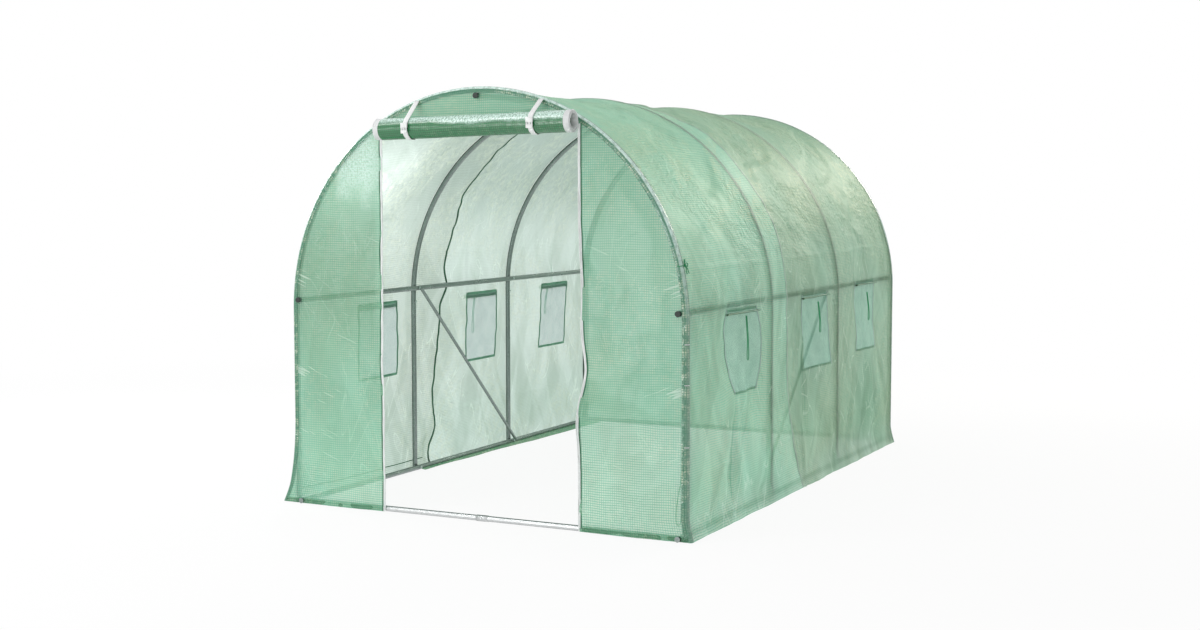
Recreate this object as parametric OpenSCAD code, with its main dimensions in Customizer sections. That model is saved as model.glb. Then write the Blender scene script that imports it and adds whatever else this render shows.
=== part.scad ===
// Walk-in polytunnel greenhouse: four hoops of round tube, rails and braces,
// a sewn cloth cover with net windows, and a front door rolled up above the way in.
// Millimetres. +Z up, +Y from the door end to the closed end, +X to the right of
// someone who looks at the door. The origin is on the ground, at the middle of the plan.

/* [Tunnel] */
// Width over the outside of the tubes
tunnel_w = 2000; // [1800:10:3000]
// Length between the middles of the front hoop and the back hoop
tunnel_l = 3000; // [2400:50:6000]
// Height of the straight legs, where the arches begin
leg_h = 915; // [700:5:1200]
// How far the hoops stand behind the middle of the plan, which makes room for the door roll
setback = 52; // [0:1:100]

/* [Tube] */
// Outer diameter of the hoop and rail tubes
tube_d = 25; // [19:0.5:38]
// Outer diameter of the side braces
brace_d = 16; // [12:0.5:30]
// Height of the middle of the side rails
rail_z = 957; // [930:1:1150]
// How far the rails run past the front hoop and the back hoop
rail_past = 13; // [0:1:60]
// Thickness of the round plugs on the rail ends
plug_t = 4; // [2:0.5:8]
// Clear gap that is left between pieces that touch in the real object
gap = 0.3; // [0.1:0.1:0.8]

/* [Cover] */
// Thickness of the cover cloth
cloth_t = 3; // [2:0.5:5]
// Where the sewn seam joins the two cover lengths, as a share of the second bay
seam_share = 0.25; // [0.15:0.01:0.4]
// Height of the skirt at the foot of the side walls
skirt_h = 45; // [30:5:150]
// How far the foot of the skirt stands out from the wall
skirt_out = 30; // [10:1:80]
// Width of the loose cloth on the ground inside the left base rail, at the back
hem_w = 85; // [40:5:120]

/* [Door] */
// Width of the door, between the middles of its zips
door_w = 1002; // [800:1:1200]
// Height of the lower edge of the fixed cloth above the door
door_top = 1745; // [1600:1:1850]
// Outer diameter of the rolled-up door
roll_d = 98; // [60:1:140]
// Height of the middle of the rolled-up door
roll_z = 1758; // [1600:1:1800]
// Length of the rolled-up door, edge bands included
roll_w = 976; // [700:1:1200]
// How far the middle of the roll lies to the right of the middle of the door
roll_shift = 12; // [-20:1:20]
// Length of the white edge band at each end of the roll
edge_band = 26; // [10:1:50]
// Width of the part of the zip tapes that shows
zip_w = 14; // [8:1:40]
// Width of the straps round the roll
strap_w = 25; // [15:1:40]
// Thickness of the straps
strap_t = 2; // [1.5:0.5:4]
// Distance from the middle of the door to the left strap
strap_left = 305; // [200:5:450]
// Distance from the middle of the door to the right strap
strap_right = 320; // [200:5:450]

/* [Windows] */
// Width of the net in each window
window_w = 340; // [250:5:450]
// Height of the net in each window
window_h = 365; // [250:5:450]
// Height of the lower edge of the nets
window_z = 548; // [300:1:550]
// Where the middle of the first window is, as a share of the front bay
window_share_1 = 0.65; // [0.3:0.01:0.7]
// Where the middle of the second window is, as a share of the middle bay
window_share_2 = 0.67; // [0.5:0.01:0.7]
// Where the middle of the third window is, as a share of the back bay
window_share_3 = 0.54; // [0.3:0.01:0.7]
// Width of the binding round each net
binding_w = 12; // [10:1:35]
// Thickness of the binding
binding_t = 1.5; // [1:0.5:3]
// Outer diameter of the rolled-up window flaps
flap_d = 20; // [14:1:40]
// How far the flaps of the left side hang below the tops of their windows
flap_below = 33; // [15:1:60]
// How far the flaps of the right side lie above the tops of their windows
flap_above = 4; // [0:1:10]
// Diameter of the flap ties
tie_d = 4; // [3:0.5:6]

/* [Hidden] */
// The names of all the pieces

round_fn = 96;
cover_fn = 360;
tube_r = tube_d / 2;
half_w = tunnel_w / 2;
arch_r = half_w - tube_r;
front_y = setback - tunnel_l / 2;
back_y = setback + tunnel_l / 2;
bay = tunnel_l / 3;
hoop_ys = [front_y, front_y + bay, front_y + 2 * bay, back_y];

// Rails lie against the inner side of the hoops: the base rails against the legs,
// and the side rails against the arches, which lean in a little at that height.
base_x = half_w - tube_d - gap - tube_r;
rail_x = sqrt(pow(base_x, 2) - pow(rail_z - leg_h, 2));
rail_len = tunnel_l + 2 * (tube_r + rail_past);
ridge_z = leg_h + half_w - tube_d - gap - tube_r;

// The cover lies on the outside of the tubes.
cover_in = half_w + gap;
cover_out = cover_in + cloth_t;
cover_front = front_y - tube_r - gap;
cover_back = back_y + tube_r + gap;
cover_len = cover_back - cover_front;
seam_at = hoop_ys[1] + seam_share * bay;
panel_front = cover_front - cloth_t;
hem_x = base_x - sqrt(pow(tube_r, 2) - pow(tube_r - cloth_t, 2)) - gap;
window_ys = [hoop_ys[0] + window_share_1 * bay,
    hoop_ys[1] + window_share_2 * bay,
    hoop_ys[2] + window_share_3 * bay];
window_top = window_z + window_h;

// The braces lie against the inner side of the rails.
brace_r = brace_d / 2;
brace_x = rail_x - tube_r - gap - brace_r;

// The zip tapes lie on the front of the panels, and the roll lies on the tapes.
zip_t = 1.5;
zip_front = panel_front - zip_t;
roll_y = zip_front - gap - strap_t - gap - roll_d / 2;
roll_from = roll_shift - roll_w / 2;
roll_to = roll_shift + roll_w / 2;
strap_in = roll_d / 2 + gap;
strap_out = strap_in + strap_t;

// The flaps lie on the bindings, and a tie hangs from the middle of each flap.
flap_x = cover_out + binding_t + gap + flap_d / 2;
left_flap_z = window_top - flap_below;
right_flap_z = window_top + flap_above;
tie_sides = 8;

// A round bar between two points
module bar(from, to, d) {
    run = to - from;
    len = norm(run);
    turn_y = acos(run[2] / len);
    turn_z = atan2(run[1], run[0]);
    translate(from)
        rotate([0, turn_y, turn_z])
            cylinder(h = len, d = d, $fn = round_fn);
}

// A round bar along Y that is centred on the hoops
module long_rail(x, z) {
    translate([x, setback - rail_len / 2, z])
        rotate([-90, 0, 0])
            cylinder(h = rail_len, d = tube_d, $fn = round_fn);
}

// A piece on the side of +X, and its mirror image on the other side
module both_sides() {
    children();
    mirror([1, 0, 0])
        children();
}

// The two straight legs of one hoop
module legs(y) {
    for (side = [-1, 1]) {
        translate([side * arch_r, y, 0])
            cylinder(h = leg_h, d = tube_d, $fn = round_fn);
    }
}

// The half circle on top of one hoop
module arch(y) {
    translate([0, y, leg_h])
        rotate([90, 0, 0])
            rotate_extrude(angle = 180, $fn = round_fn)
                translate([arch_r, 0])
                    circle(d = tube_d, $fn = round_fn);
}

// The upper half of a disc
module half_disc(r) {
    intersection() {
        circle(r = r, $fn = cover_fn);
        translate([-2 * r, 0])
            square([4 * r, 2 * r]);
    }
}

// The outline of an end of the cover, from the ground to the arch
module end_outline() {
    union() {
        translate([-cover_out, 0])
            square([2 * cover_out, leg_h]);
        translate([0, leg_h])
            half_disc(cover_out);
    }
}

// An upright sheet of cloth with the given outline, whose front is at y
module end_sheet(y) {
    translate([0, y + cloth_t, 0])
        rotate([90, 0, 0])
            linear_extrude(height = cloth_t)
                children();
}

// The curved cover between two distances along the tunnel
module roof_length(from_y, to_y) {
    translate([0, to_y, leg_h])
        rotate([90, 0, 0])
            linear_extrude(height = to_y - from_y)
                difference() {
                    half_disc(cover_out);
                    circle(r = cover_in, $fn = cover_fn);
                }
}

// The side walls of the cover between two distances along the tunnel, with the
// window openings that fall there
module wall_covers(from_y, to_y) {
    both_sides()
        difference() {
            translate([cover_in, from_y, skirt_h])
                cube([cloth_t, to_y - from_y, leg_h - skirt_h]);
            for (y = window_ys) {
                translate([cover_in - 1, y - window_w / 2, window_z])
                    cube([cloth_t + 2, window_w, window_h]);
            }
        }
}

// The strips at the foot of the side walls, which lean out to the ground
module skirts(from_y, to_y) {
    both_sides()
        translate([0, to_y, 0])
            rotate([90, 0, 0])
                linear_extrude(height = to_y - from_y)
                    polygon([
                        [cover_in, skirt_h],
                        [cover_in + skirt_out, 0],
                        [cover_out + skirt_out, 0],
                        [cover_out, skirt_h]
                    ]);
}

// The loose cloth on the ground inside the left base rail, which is wider at the back
module loose_hem() {
    hem_end = back_y - tube_d;
    linear_extrude(height = cloth_t)
        polygon([
            [-hem_x, hoop_ys[1]],
            [-hem_x + hem_w / 3, hoop_ys[1]],
            [-hem_x + hem_w, hem_end],
            [-hem_x, hem_end]
        ]);
}

// The nets in the three windows of the side on +X
module window_nets() {
    for (y = window_ys) {
        translate([cover_out - binding_t, y - window_w / 2, window_z])
            cube([binding_t, window_w, window_h]);
    }
}

// The cloth bindings round the three windows of the side on +X
module window_bindings() {
    for (y = window_ys) {
        difference() {
            translate([cover_out, y - window_w / 2 - binding_w, window_z - binding_w])
                cube([binding_t, window_w + 2 * binding_w, window_h + 2 * binding_w]);
            translate([cover_out - 1, y - window_w / 2, window_z])
                cube([binding_t + 2, window_w, window_h]);
        }
    }
}

// The rolled-up flaps of the three windows of the side on +X, at the height z
module window_flaps(z) {
    flap_len = window_w + 2 * binding_w;
    for (y = window_ys) {
        translate([flap_x, y - flap_len / 2, z])
            rotate([-90, 0, 0])
                cylinder(h = flap_len, d = flap_d, $fn = round_fn);
    }
}

// The direction of a line at one of its points
function line_way(line, i) =
    let (a = line[max(i - 1, 0)], b = line[min(i + 1, len(line) - 1)])
    (b - a) / norm(b - a);

// The ring of points round one point of a line that never runs along the flank given
function ring(line, i, r, flank) =
    let (way = line_way(line, i),
        across = cross(way, flank) / norm(cross(way, flank)),
        along = cross(way, across))
    [for (k = [0 : tie_sides - 1])
        line[i] + r * (cos(360 * k / tie_sides) * across
            + sin(360 * k / tie_sides) * along)];

// A soft cord along a line of points
module cord(line, d, flank) {
    rings = len(line);
    points = [for (i = [0 : rings - 1]) each ring(line, i, d / 2, flank)];
    sides = [for (i = [0 : rings - 2])
        for (k = [0 : tie_sides - 1])
            [i * tie_sides + k, i * tie_sides + (k + 1) % tie_sides,
                (i + 1) * tie_sides + (k + 1) % tie_sides, (i + 1) * tie_sides + k]];
    start_face = [for (k = [tie_sides - 1 : -1 : 0]) k];
    end_face = [for (k = [0 : tie_sides - 1]) (rings - 1) * tie_sides + k];
    polyhedron(points = points, faces = concat(sides, [start_face, end_face]),
        convexity = 4);
}

// The route of a long tie loop below its flap and back: out from the wall, along it, up
long_loop = [[0, -4, 0], [2, 0, -50], [4, 6, -110], [4, 4, -160], [4, 4, -190],
    [4, 7, -197], [4, 14, -200], [4, 21, -197], [4, 24, -190], [4, 22, -150],
    [3, 16, -80], [0, 6, 0]];

// The route of a short tie loop that hangs to one side
short_loop = [[0, -4, 0], [2, 4, -40], [4, 14, -80], [4, 16, -115], [4, 16, -145],
    [4, 19, -152], [4, 26, -155], [4, 33, -152], [4, 36, -145], [4, 34, -110],
    [3, 22, -60], [0, 6, 0]];

// A flap tie on the side of the tunnel given by side, from the place y along its flap. It
// hangs towards the back for a lean of 1 and towards the front for a lean of -1.
module flap_tie(route, y, side, lean) {
    top = (side < 0 ? left_flap_z : right_flap_z) - flap_d / 2 - gap;
    line = [for (p = route) [side * (flap_x + p[0]), y + lean * p[1], top + p[2]]];
    cord(line, tie_d, [1, 0, 0]);
}

// The route of the loose tie loop inside the front right corner, from the inner side of
// the leg and back to it
corner_tie_x = half_w - tube_d - gap - tie_d / 2;
corner_route = [[0, 0, 300], [-6, 0, 250], [-18, 0, 190], [-26, 0, 130], [-27, 0, 90],
    [-24, 0, 74], [-16, 0, 68], [-8, 0, 74], [-4, 0, 90], [0, 0, 160]];

module front_legs() color("Silver") legs(hoop_ys[0]);
module second_legs() color("Silver") legs(hoop_ys[1]);
module third_legs() color("Silver") legs(hoop_ys[2]);
module back_legs() color("Silver") legs(hoop_ys[3]);
module front_arch() color("Silver") arch(hoop_ys[0]);
module second_arch() color("Silver") arch(hoop_ys[1]);
module third_arch() color("Silver") arch(hoop_ys[2]);
module back_arch() color("Silver") arch(hoop_ys[3]);

module ridge_rail() color("Silver") long_rail(0, ridge_z);
module side_rails() color("Silver") both_sides() long_rail(rail_x, rail_z);
module base_rails() color("Silver") both_sides() long_rail(base_x, tube_r);

// A base rail across one end, between the two long base rails
module cross_rail(y) {
    half_len = base_x - tube_r - gap;
    bar([-half_len, y, tube_r], [half_len, y, tube_r], tube_d);
}

module front_base_rail() color("Silver") cross_rail(front_y);
module back_base_rail() color("Silver") cross_rail(back_y);

// The left brace falls from the second hoop to the foot of the third one, and the right
// brace climbs.
module side_braces() {
    color("Silver") {
        bar([-brace_x, hoop_ys[1], rail_z], [-brace_x, hoop_ys[2], tube_d], brace_d);
        bar([brace_x, hoop_ys[1], tube_d], [brace_x, hoop_ys[2], rail_z], brace_d);
    }
}

module rail_end_plugs() {
    color("DimGray")
        for (at = [[-rail_x, rail_z], [rail_x, rail_z], [0, ridge_z]]) {
            for (end = [-1, 1]) {
                translate([at[0], setback + end * (rail_len + plug_t) / 2, at[1]])
                    rotate([90, 0, 0])
                        cylinder(h = plug_t, d = tube_d, center = true, $fn = round_fn);
            }
        }
}

module front_roof_cover() color("DarkSeaGreen") roof_length(cover_front, seam_at);
module rear_roof_cover() color("DarkSeaGreen") roof_length(seam_at, cover_back);
module front_wall_covers() color("DarkSeaGreen") wall_covers(cover_front, seam_at);
module rear_wall_covers() color("DarkSeaGreen") wall_covers(seam_at, cover_back);
module front_skirts() color("SeaGreen") skirts(cover_front, seam_at);
module rear_skirts() color("SeaGreen") skirts(seam_at, cover_back);
module inner_hem() color("SeaGreen") loose_hem();

// The rail ends come out through round holes in the front and back cloth.
module rail_holes() {
    for (at = [[-rail_x, rail_z], [rail_x, rail_z], [0, ridge_z]]) {
        translate(at)
            circle(d = tube_d + 2 * gap, $fn = round_fn);
    }
    for (x = [-base_x, base_x]) {
        translate([x, tube_r])
            circle(d = tube_d + 2 * gap, $fn = round_fn);
    }
}

module front_right_panel() {
    color("DarkSeaGreen")
        end_sheet(panel_front)
            difference() {
                intersection() {
                    end_outline();
                    translate([door_w / 2, 0])
                        square([half_w, 2 * leg_h + half_w]);
                }
                rail_holes();
            }
}

module front_left_panel() {
    mirror([1, 0, 0]) front_right_panel();
}

module front_top_panel() {
    color("DarkSeaGreen")
        end_sheet(panel_front)
            difference() {
                intersection() {
                    end_outline();
                    translate([-door_w / 2, door_top])
                        square([door_w, half_w]);
                }
                rail_holes();
            }
}

module back_panel() {
    color("DarkSeaGreen")
        end_sheet(cover_back)
            difference() {
                end_outline();
                rail_holes();
            }
}

module door_zips() {
    color("White")
        for (x = [-door_w / 2, door_w / 2]) {
            translate([x - zip_w / 2, zip_front, 0])
                cube([zip_w, zip_t, roll_z]);
        }
}

// A round piece on the line of the door roll, between two distances along X
module roll_piece(from_x, to_x, d) {
    translate([from_x, roll_y, roll_z])
        rotate([0, 90, 0])
            cylinder(h = to_x - from_x, d = d, $fn = round_fn);
}

module door_roll() {
    color("ForestGreen")
        roll_piece(roll_from + edge_band, roll_to - edge_band, roll_d);
}

module door_roll_edges() {
    color("White") {
        roll_piece(roll_from, roll_from + edge_band, roll_d);
        roll_piece(roll_to - edge_band, roll_to, roll_d);
    }
}

// A strap that comes down from the fixed cloth and goes round the roll. It lies on the
// cloth behind the roll, and a tight length in front runs from its top to the roll.
module strap(x) {
    tab_h = 60;
    tab_y = zip_front - gap - strap_t;
    top = [tab_y, roll_z + roll_d / 2 + tab_h];
    way = top - [roll_y, roll_z];
    angle = atan2(way[1], way[0]) + acos(strap_out / norm(way));
    lean = [cos(angle), sin(angle)];
    rotate([90, 0, 90])
        translate([0, 0, x - strap_w / 2])
            linear_extrude(height = strap_w) {
                difference() {
                    union() {
                        translate([roll_y, roll_z])
                            circle(r = strap_out, $fn = round_fn);
                        translate([roll_y, roll_z])
                            square([panel_front - roll_y, tab_h + roll_d / 2]);
                    }
                    translate([roll_y, roll_z])
                        circle(r = strap_in, $fn = round_fn);
                    translate([roll_y - 1, roll_z + roll_d / 8])
                        square([tab_y - roll_y + 1, tab_h + roll_d]);
                }
                polygon([
                    top,
                    [roll_y, roll_z] + strap_out * lean,
                    [roll_y, roll_z] + strap_in * lean,
                    top - strap_t * lean
                ]);
            }
}

module door_straps() {
    color("White") {
        strap(-strap_left);
        strap(strap_right);
    }
}

// A strap buckle on the front of the roll
module buckle(x) {
    buckle_w = 34;
    buckle_h = 46;
    buckle_t = 9;
    translate([x - buckle_w / 2, roll_y - strap_out - gap - buckle_t, roll_z - buckle_h / 2])
        cube([buckle_w, buckle_t, buckle_h]);
}

module door_buckles() {
    color("WhiteSmoke") {
        buckle(-strap_left);
        buckle(strap_right);
    }
}

module right_window_nets() color("Gainsboro") window_nets();
module left_window_nets() color("Gainsboro") mirror([1, 0, 0]) window_nets();
module right_window_bindings() color("SeaGreen") window_bindings();
module left_window_bindings() color("SeaGreen") mirror([1, 0, 0]) window_bindings();
module right_window_flaps() color("SeaGreen") window_flaps(right_flap_z);
module left_window_flaps() color("SeaGreen") mirror([1, 0, 0]) window_flaps(left_flap_z);

module left_tie_1() color("DarkGreen") flap_tie(long_loop, window_ys[0], -1, 1);
module left_tie_2() color("DarkGreen") flap_tie(long_loop, window_ys[1], -1, -1);
module left_tie_3() color("DarkGreen") flap_tie(short_loop, window_ys[2], -1, -1);
module right_tie_1() color("DarkGreen") flap_tie(long_loop, window_ys[0] - 30, 1, 1);
module right_tie_2() color("DarkGreen") flap_tie(short_loop, window_ys[1] - 50, 1, 1);
module right_tie_3() color("DarkGreen") flap_tie(short_loop, window_ys[2] - 85, 1, 1);

module corner_tie() {
    color("DarkGreen")
        cord([for (p = corner_route) [corner_tie_x + p[0], front_y + p[1], p[2]]],
            tie_d, [0, 1, 0]);
}

front_legs();
second_legs();
third_legs();
back_legs();
front_arch();
second_arch();
third_arch();
back_arch();
ridge_rail();
side_rails();
base_rails();
front_base_rail();
back_base_rail();
side_braces();
rail_end_plugs();
front_roof_cover();
rear_roof_cover();
front_wall_covers();
rear_wall_covers();
front_skirts();
rear_skirts();
inner_hem();
front_left_panel();
front_right_panel();
front_top_panel();
back_panel();
door_roll();
door_roll_edges();
door_zips();
door_straps();
door_buckles();
left_window_nets();
right_window_nets();
left_window_bindings();
right_window_bindings();
left_window_flaps();
right_window_flaps();
left_tie_1();
left_tie_2();
left_tie_3();
right_tie_1();
right_tie_2();
right_tie_3();
corner_tie();
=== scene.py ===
"""The looks of a polytunnel greenhouse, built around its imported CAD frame.

The tubes keep their CAD meshes and get a galvanised material. Every cloth piece is made
here from its flat cut: a point of the cut, given in metres, is placed on the hoops, and the
same function places the cover, its window nets, bindings and seams, so that they share
every sag and wrinkle. Units are metres, in the frame of the CAD part.
"""

import math

import bmesh
import bpy
import numpy as np
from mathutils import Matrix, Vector


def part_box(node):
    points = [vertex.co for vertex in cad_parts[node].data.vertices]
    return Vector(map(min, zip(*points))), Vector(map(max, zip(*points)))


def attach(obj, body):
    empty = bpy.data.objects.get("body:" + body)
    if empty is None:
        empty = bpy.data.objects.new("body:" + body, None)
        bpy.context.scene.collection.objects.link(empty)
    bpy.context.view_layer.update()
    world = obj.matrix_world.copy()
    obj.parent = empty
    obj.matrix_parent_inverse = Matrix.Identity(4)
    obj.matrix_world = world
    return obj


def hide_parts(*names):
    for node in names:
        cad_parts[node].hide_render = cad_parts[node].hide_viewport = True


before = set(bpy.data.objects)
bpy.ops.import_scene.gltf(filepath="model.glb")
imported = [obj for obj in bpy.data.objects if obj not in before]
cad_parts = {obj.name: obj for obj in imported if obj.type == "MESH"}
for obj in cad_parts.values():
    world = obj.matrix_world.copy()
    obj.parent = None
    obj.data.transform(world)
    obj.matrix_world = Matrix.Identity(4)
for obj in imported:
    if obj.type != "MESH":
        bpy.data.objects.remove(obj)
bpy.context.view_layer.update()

# ---------------------------------------------------------------- camera

LENS_MM = 48.55
CAMERA_AT = (3.614, -7.592, 1.475)
CAMERA_TILT_DEG = 4.476
CAMERA_TURN_DEG = 26.2

camera_data = bpy.data.cameras.new("camera")
camera_data.lens = LENS_MM
camera_data.sensor_width = 36
camera = bpy.data.objects.new("camera", camera_data)
camera.location = CAMERA_AT
camera.rotation_euler = (
    math.radians(90 - CAMERA_TILT_DEG), 0, math.radians(CAMERA_TURN_DEG))
bpy.context.scene.collection.objects.link(camera)
bpy.context.scene.camera = camera

# ---------------------------------------------------------------- sizes from the frame


def box(node):
    low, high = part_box(node)
    return np.array(low), np.array(high)


HOOP_NAMES = ("front", "second", "third", "back")
HOOPS = [float(sum(box(name + "_legs"))[1] / 2) for name in HOOP_NAMES]
FRONT, BACK = HOOPS[0], HOOPS[-1]
BAY = (BACK - FRONT) / 3
HALF = float(box("front_legs")[1][0])
LEG = float(box("front_legs")[1][2])
TUBE_R = float(np.ptp([b[1] for b in box("front_legs")])) / 2
SEAM = float(box("front_roof_cover")[1][1])
SKIRT = float(box("front_skirts")[1][2])
RAIL_Z = float(sum(box("side_rails"))[2] / 2)

CLEAR = 0.0018  # how far the cloth's middle lies off the tubes
CLOTH = HALF + CLEAR  # radius of the cloth over the hoops
HOOP_LINE = HALF - TUBE_R  # radius of the hoops' centre line
GIRTH = 2 * LEG + math.pi * CLOTH
PANEL_Y = FRONT - TUBE_R - CLEAR
BACK_Y = BACK + TUBE_R + CLEAR
DOOR_EDGE = float(box("front_right_panel")[0][0])
STEP = 0.0115  # the cloth's mesh spacing

net_low, net_high = box("right_window_nets")
WINDOW_LOW, WINDOW_HIGH = float(net_low[2]), float(net_high[2])
WINDOW_W = 0.34
WINDOWS = (FRONT + 0.65 * BAY, HOOPS[1] + 0.67 * BAY, HOOPS[2] + 0.54 * BAY)
SIDES = ((-1, "left"), (1, "right"))

# ---------------------------------------------------------------- shapes in numbers


def smooth(low, high, x):
    """0 below low, 1 above high, and smooth between."""
    t = np.clip((x - low) / (high - low), 0, 1)
    return t * t * (3 - 2 * t)


def hump(x, middle, width):
    """1 at the middle, and falling off on both sides."""
    return np.exp(-(((x - middle) / width) ** 2))


def noise(u, v, seed):
    """Smooth noise from -1 to 1, with lumps about one unit apart."""
    size = 64
    angle = np.random.default_rng(seed).uniform(0, 2 * np.pi, (size, size))
    gx, gy = np.cos(angle), np.sin(angle)
    u, v = np.broadcast_arrays(np.asarray(u, float), np.asarray(v, float))
    i, j = np.floor(u).astype(int), np.floor(v).astype(int)
    a, b = u - i, v - j

    def corner(di, dj):
        at = ((i + di) % size, (j + dj) % size)
        return gx[at] * (a - di) + gy[at] * (b - dj)

    def fade(t):
        return t * t * t * (t * (6 * t - 15) + 10)

    p, q = fade(a), fade(b)
    low = corner(0, 0) * (1 - p) + corner(1, 0) * p
    high = corner(0, 1) * (1 - p) + corner(1, 1) * p
    return 1.5 * (low * (1 - q) + high * q)


def crease(u, v, seed):
    """Sharp folds: 0.6 along each crest and lower between."""
    return 0.6 - 2 * np.abs(noise(u, v, seed))


def through_points(points, per_stretch):
    """A smooth line through points, with per_stretch steps between neighbours."""
    p = np.asarray(points, float)
    p = np.vstack([2 * p[0] - p[1], p, 2 * p[-1] - p[-2]])
    out = []
    for k in range(1, len(p) - 2):
        a, b, c, d = p[k - 1 : k + 3]
        for t in np.arange(per_stretch) / per_stretch:
            out.append(0.5 * (2 * b + (c - a) * t + (2 * a - 5 * b + 4 * c - d) * t**2
                              + (3 * b - a - 3 * c + d) * t**3))
    out.append(p[-2])
    return np.array(out)


def steps(*stops, spacing=STEP):
    """Evenly spaced numbers that include every stop."""
    parts = [np.array([stops[0]])]
    for low, high in zip(stops, stops[1:]):
        count = max(1, math.ceil((high - low) / spacing))
        parts.append(np.linspace(low, high, count + 1)[1:])
    return np.concatenate(parts)


def stacked(*numbers):
    """Numbers side by side, as the last axis of one array."""
    return np.stack(np.broadcast_arrays(*numbers), -1)


def line_length(points):
    """The length along a line, at each of its points."""
    gaps = np.linalg.norm(np.diff(points, axis=0), axis=1)
    return np.concatenate([[0], np.cumsum(gaps)])


def unit(vectors):
    return vectors / np.linalg.norm(vectors, axis=-1, keepdims=True)


# ---------------------------------------------------------------- the cover's shape

# How far the roof cloth sags between the hoops of each bay
ROOF_SAG = (0.021, 0.012, 0.017)
# Where the seam wanders to: height up the wall or girth past it, and offset along Y
SEAM_LEFT = ((0.0, -0.06), (0.09, -0.10), (0.2, -0.03), (0.37, -0.06), (0.62, -0.02),
             (0.85, 0.01), (0.95, 0.07), (1.05, 0.04), (1.25, 0.06), (1.45, 0.02),
             (1.65, 0.05), (1.9, 0.02), (2.2, 0.04), (2.5, 0.02))
SEAM_RIGHT = ((0.0, 0.15), (0.1, 0.13), (0.25, 0.08), (0.48, 0.0), (0.65, -0.02),
              (0.9, -0.03), (1.1, -0.03), (1.3, -0.01), (1.6, -0.04), (1.9, 0.01),
              (2.2, 0.03), (2.5, 0.02))


def height_up(s):
    """The height up the wall at girth s, or the girth past it."""
    return np.minimum(s, GIRTH - s)


def side_s(side, up):
    """The girth at a height up the left wall (-1) or the right wall (1)."""
    return np.where(side < 0, up, GIRTH - up)


def seam_offset(s):
    """How far along Y the seam lies from its straight line, at the girth s."""
    line_left = through_points(SEAM_LEFT, 6)
    line_right = through_points(SEAM_RIGHT, 6)
    left = np.interp(s, line_left[:, 0], line_left[:, 1])
    right = np.interp(GIRTH - s, line_right[:, 0], line_right[:, 1])
    share = smooth(GIRTH / 2 - 0.1, GIRTH / 2 + 0.1, s)
    return left * (1 - share) + right * share


def cover_depth(s, y):
    """How far the cloth stands out from the hoops' surface at girth s."""
    right = s > GIRTH / 2
    up = height_up(s)
    share = np.clip((y - FRONT) / BAY, 0, 2.9999)
    bay = np.floor(share).astype(int)
    inner = np.clip(share - bay, 0, 1)
    free = np.sin(np.pi * inner) ** 0.7
    roof = smooth(LEG - 0.05, LEG + 0.55, up)
    sag = np.take(ROOF_SAG, bay) * roof + 0.017 * (1 - roof) * smooth(0.15, 0.85, up)
    out = -sag * free
    # soft hanging folds on the walls, which fan out towards the ground
    side = np.where(right, 11.0, 37.0)
    slack = np.where(right, 1.0, 0.55)
    slant = y + 0.35 * up * np.where(inner > 0.5, 1.0, -0.7)
    folds = noise(slant * 4.5 + side, up * 1.3 + side, 3) * 0.017
    folds = folds + noise(slant * 9 + side, up * 2.1, 5) * 0.008
    out = out + folds * slack * free * (1 - smooth(0.95, 1.5, up)) * smooth(0.0, 0.2, up)
    # dents pressed into the roof, with a sharp lower edge
    dent = smooth(0.0, 0.35, noise(y * 2.0 + 3, s * 4.2 + 1.6 * y, 7))
    out = out - 0.011 * dent * free * smooth(1.05, 1.35, up)
    # long creases across the roof and down the walls
    calm = 1 - 0.5 * roof
    out = out + crease(y * 3.1 + s * 1.4, s * 2.6 - y * 1.3, 11) * 0.0060 * free * calm
    out = out + crease(y * 6.3 - s * 4.1, s * 5.2 + side, 17) * 0.0032 * free
    out = out + noise(y * 13, s * 11, 23) * 0.0018 * free
    # packing folds: one along the tunnel above each rail, and one near the ground
    for fold in (1.14, 0.27):
        out = out + 0.0040 * hump(up, fold, 0.010) * free
    # puckers along the seam
    off = y - SEAM
    out = out + noise(s * 16, off * 5, 31) * 0.004 * hump(off, 0, 0.09) * free
    # the side rails and the ridge rail hold the cloth out where it presses on them
    out = np.maximum(out, -0.0238 - 3.0 * np.abs(up - RAIL_Z))
    out = np.maximum(out, -0.0235 - 3.0 * np.abs(s - GIRTH / 2))
    # the foot leans out to the ground, more in some places than in others
    lean = 0.022 + 0.008 * noise(y * 3.3, side, 41)
    out = out + lean * np.clip(1 - up / (2.2 * SKIRT), 0, 1) ** 1.4 * np.where(right, 1.0, 0.7)
    # the foot of the front left corner stands out further
    flare = 0.058 * np.clip((0.42 - up) / 0.42, 0, 1) ** 2.2 * hump(y, FRONT, 0.3)
    return out + np.where(right, 0.0, flare)


# How each window is pulled out of square, for the left and right side: shifts along the
# tunnel of its top and bottom, widths of top, middle and bottom as shares, and its lift
WINDOW_PULL = {
    -1: ((0.022, 0.022, 1.0, 1.0, 1.0, -0.022), (0.034, 0.034, 0.95, 0.97, 0.93, -0.022),
         (0.040, 0.0, 0.97, 0.95, 0.97, -0.018)),
    1: ((-0.022, 0.028, 0.98, 1.26, 0.76, 0.018), (-0.041, 0.026, 1.12, 1.12, 1.18, 0.030),
        (-0.060, -0.007, 0.95, 0.97, 0.95, 0.048)),
}


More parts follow.
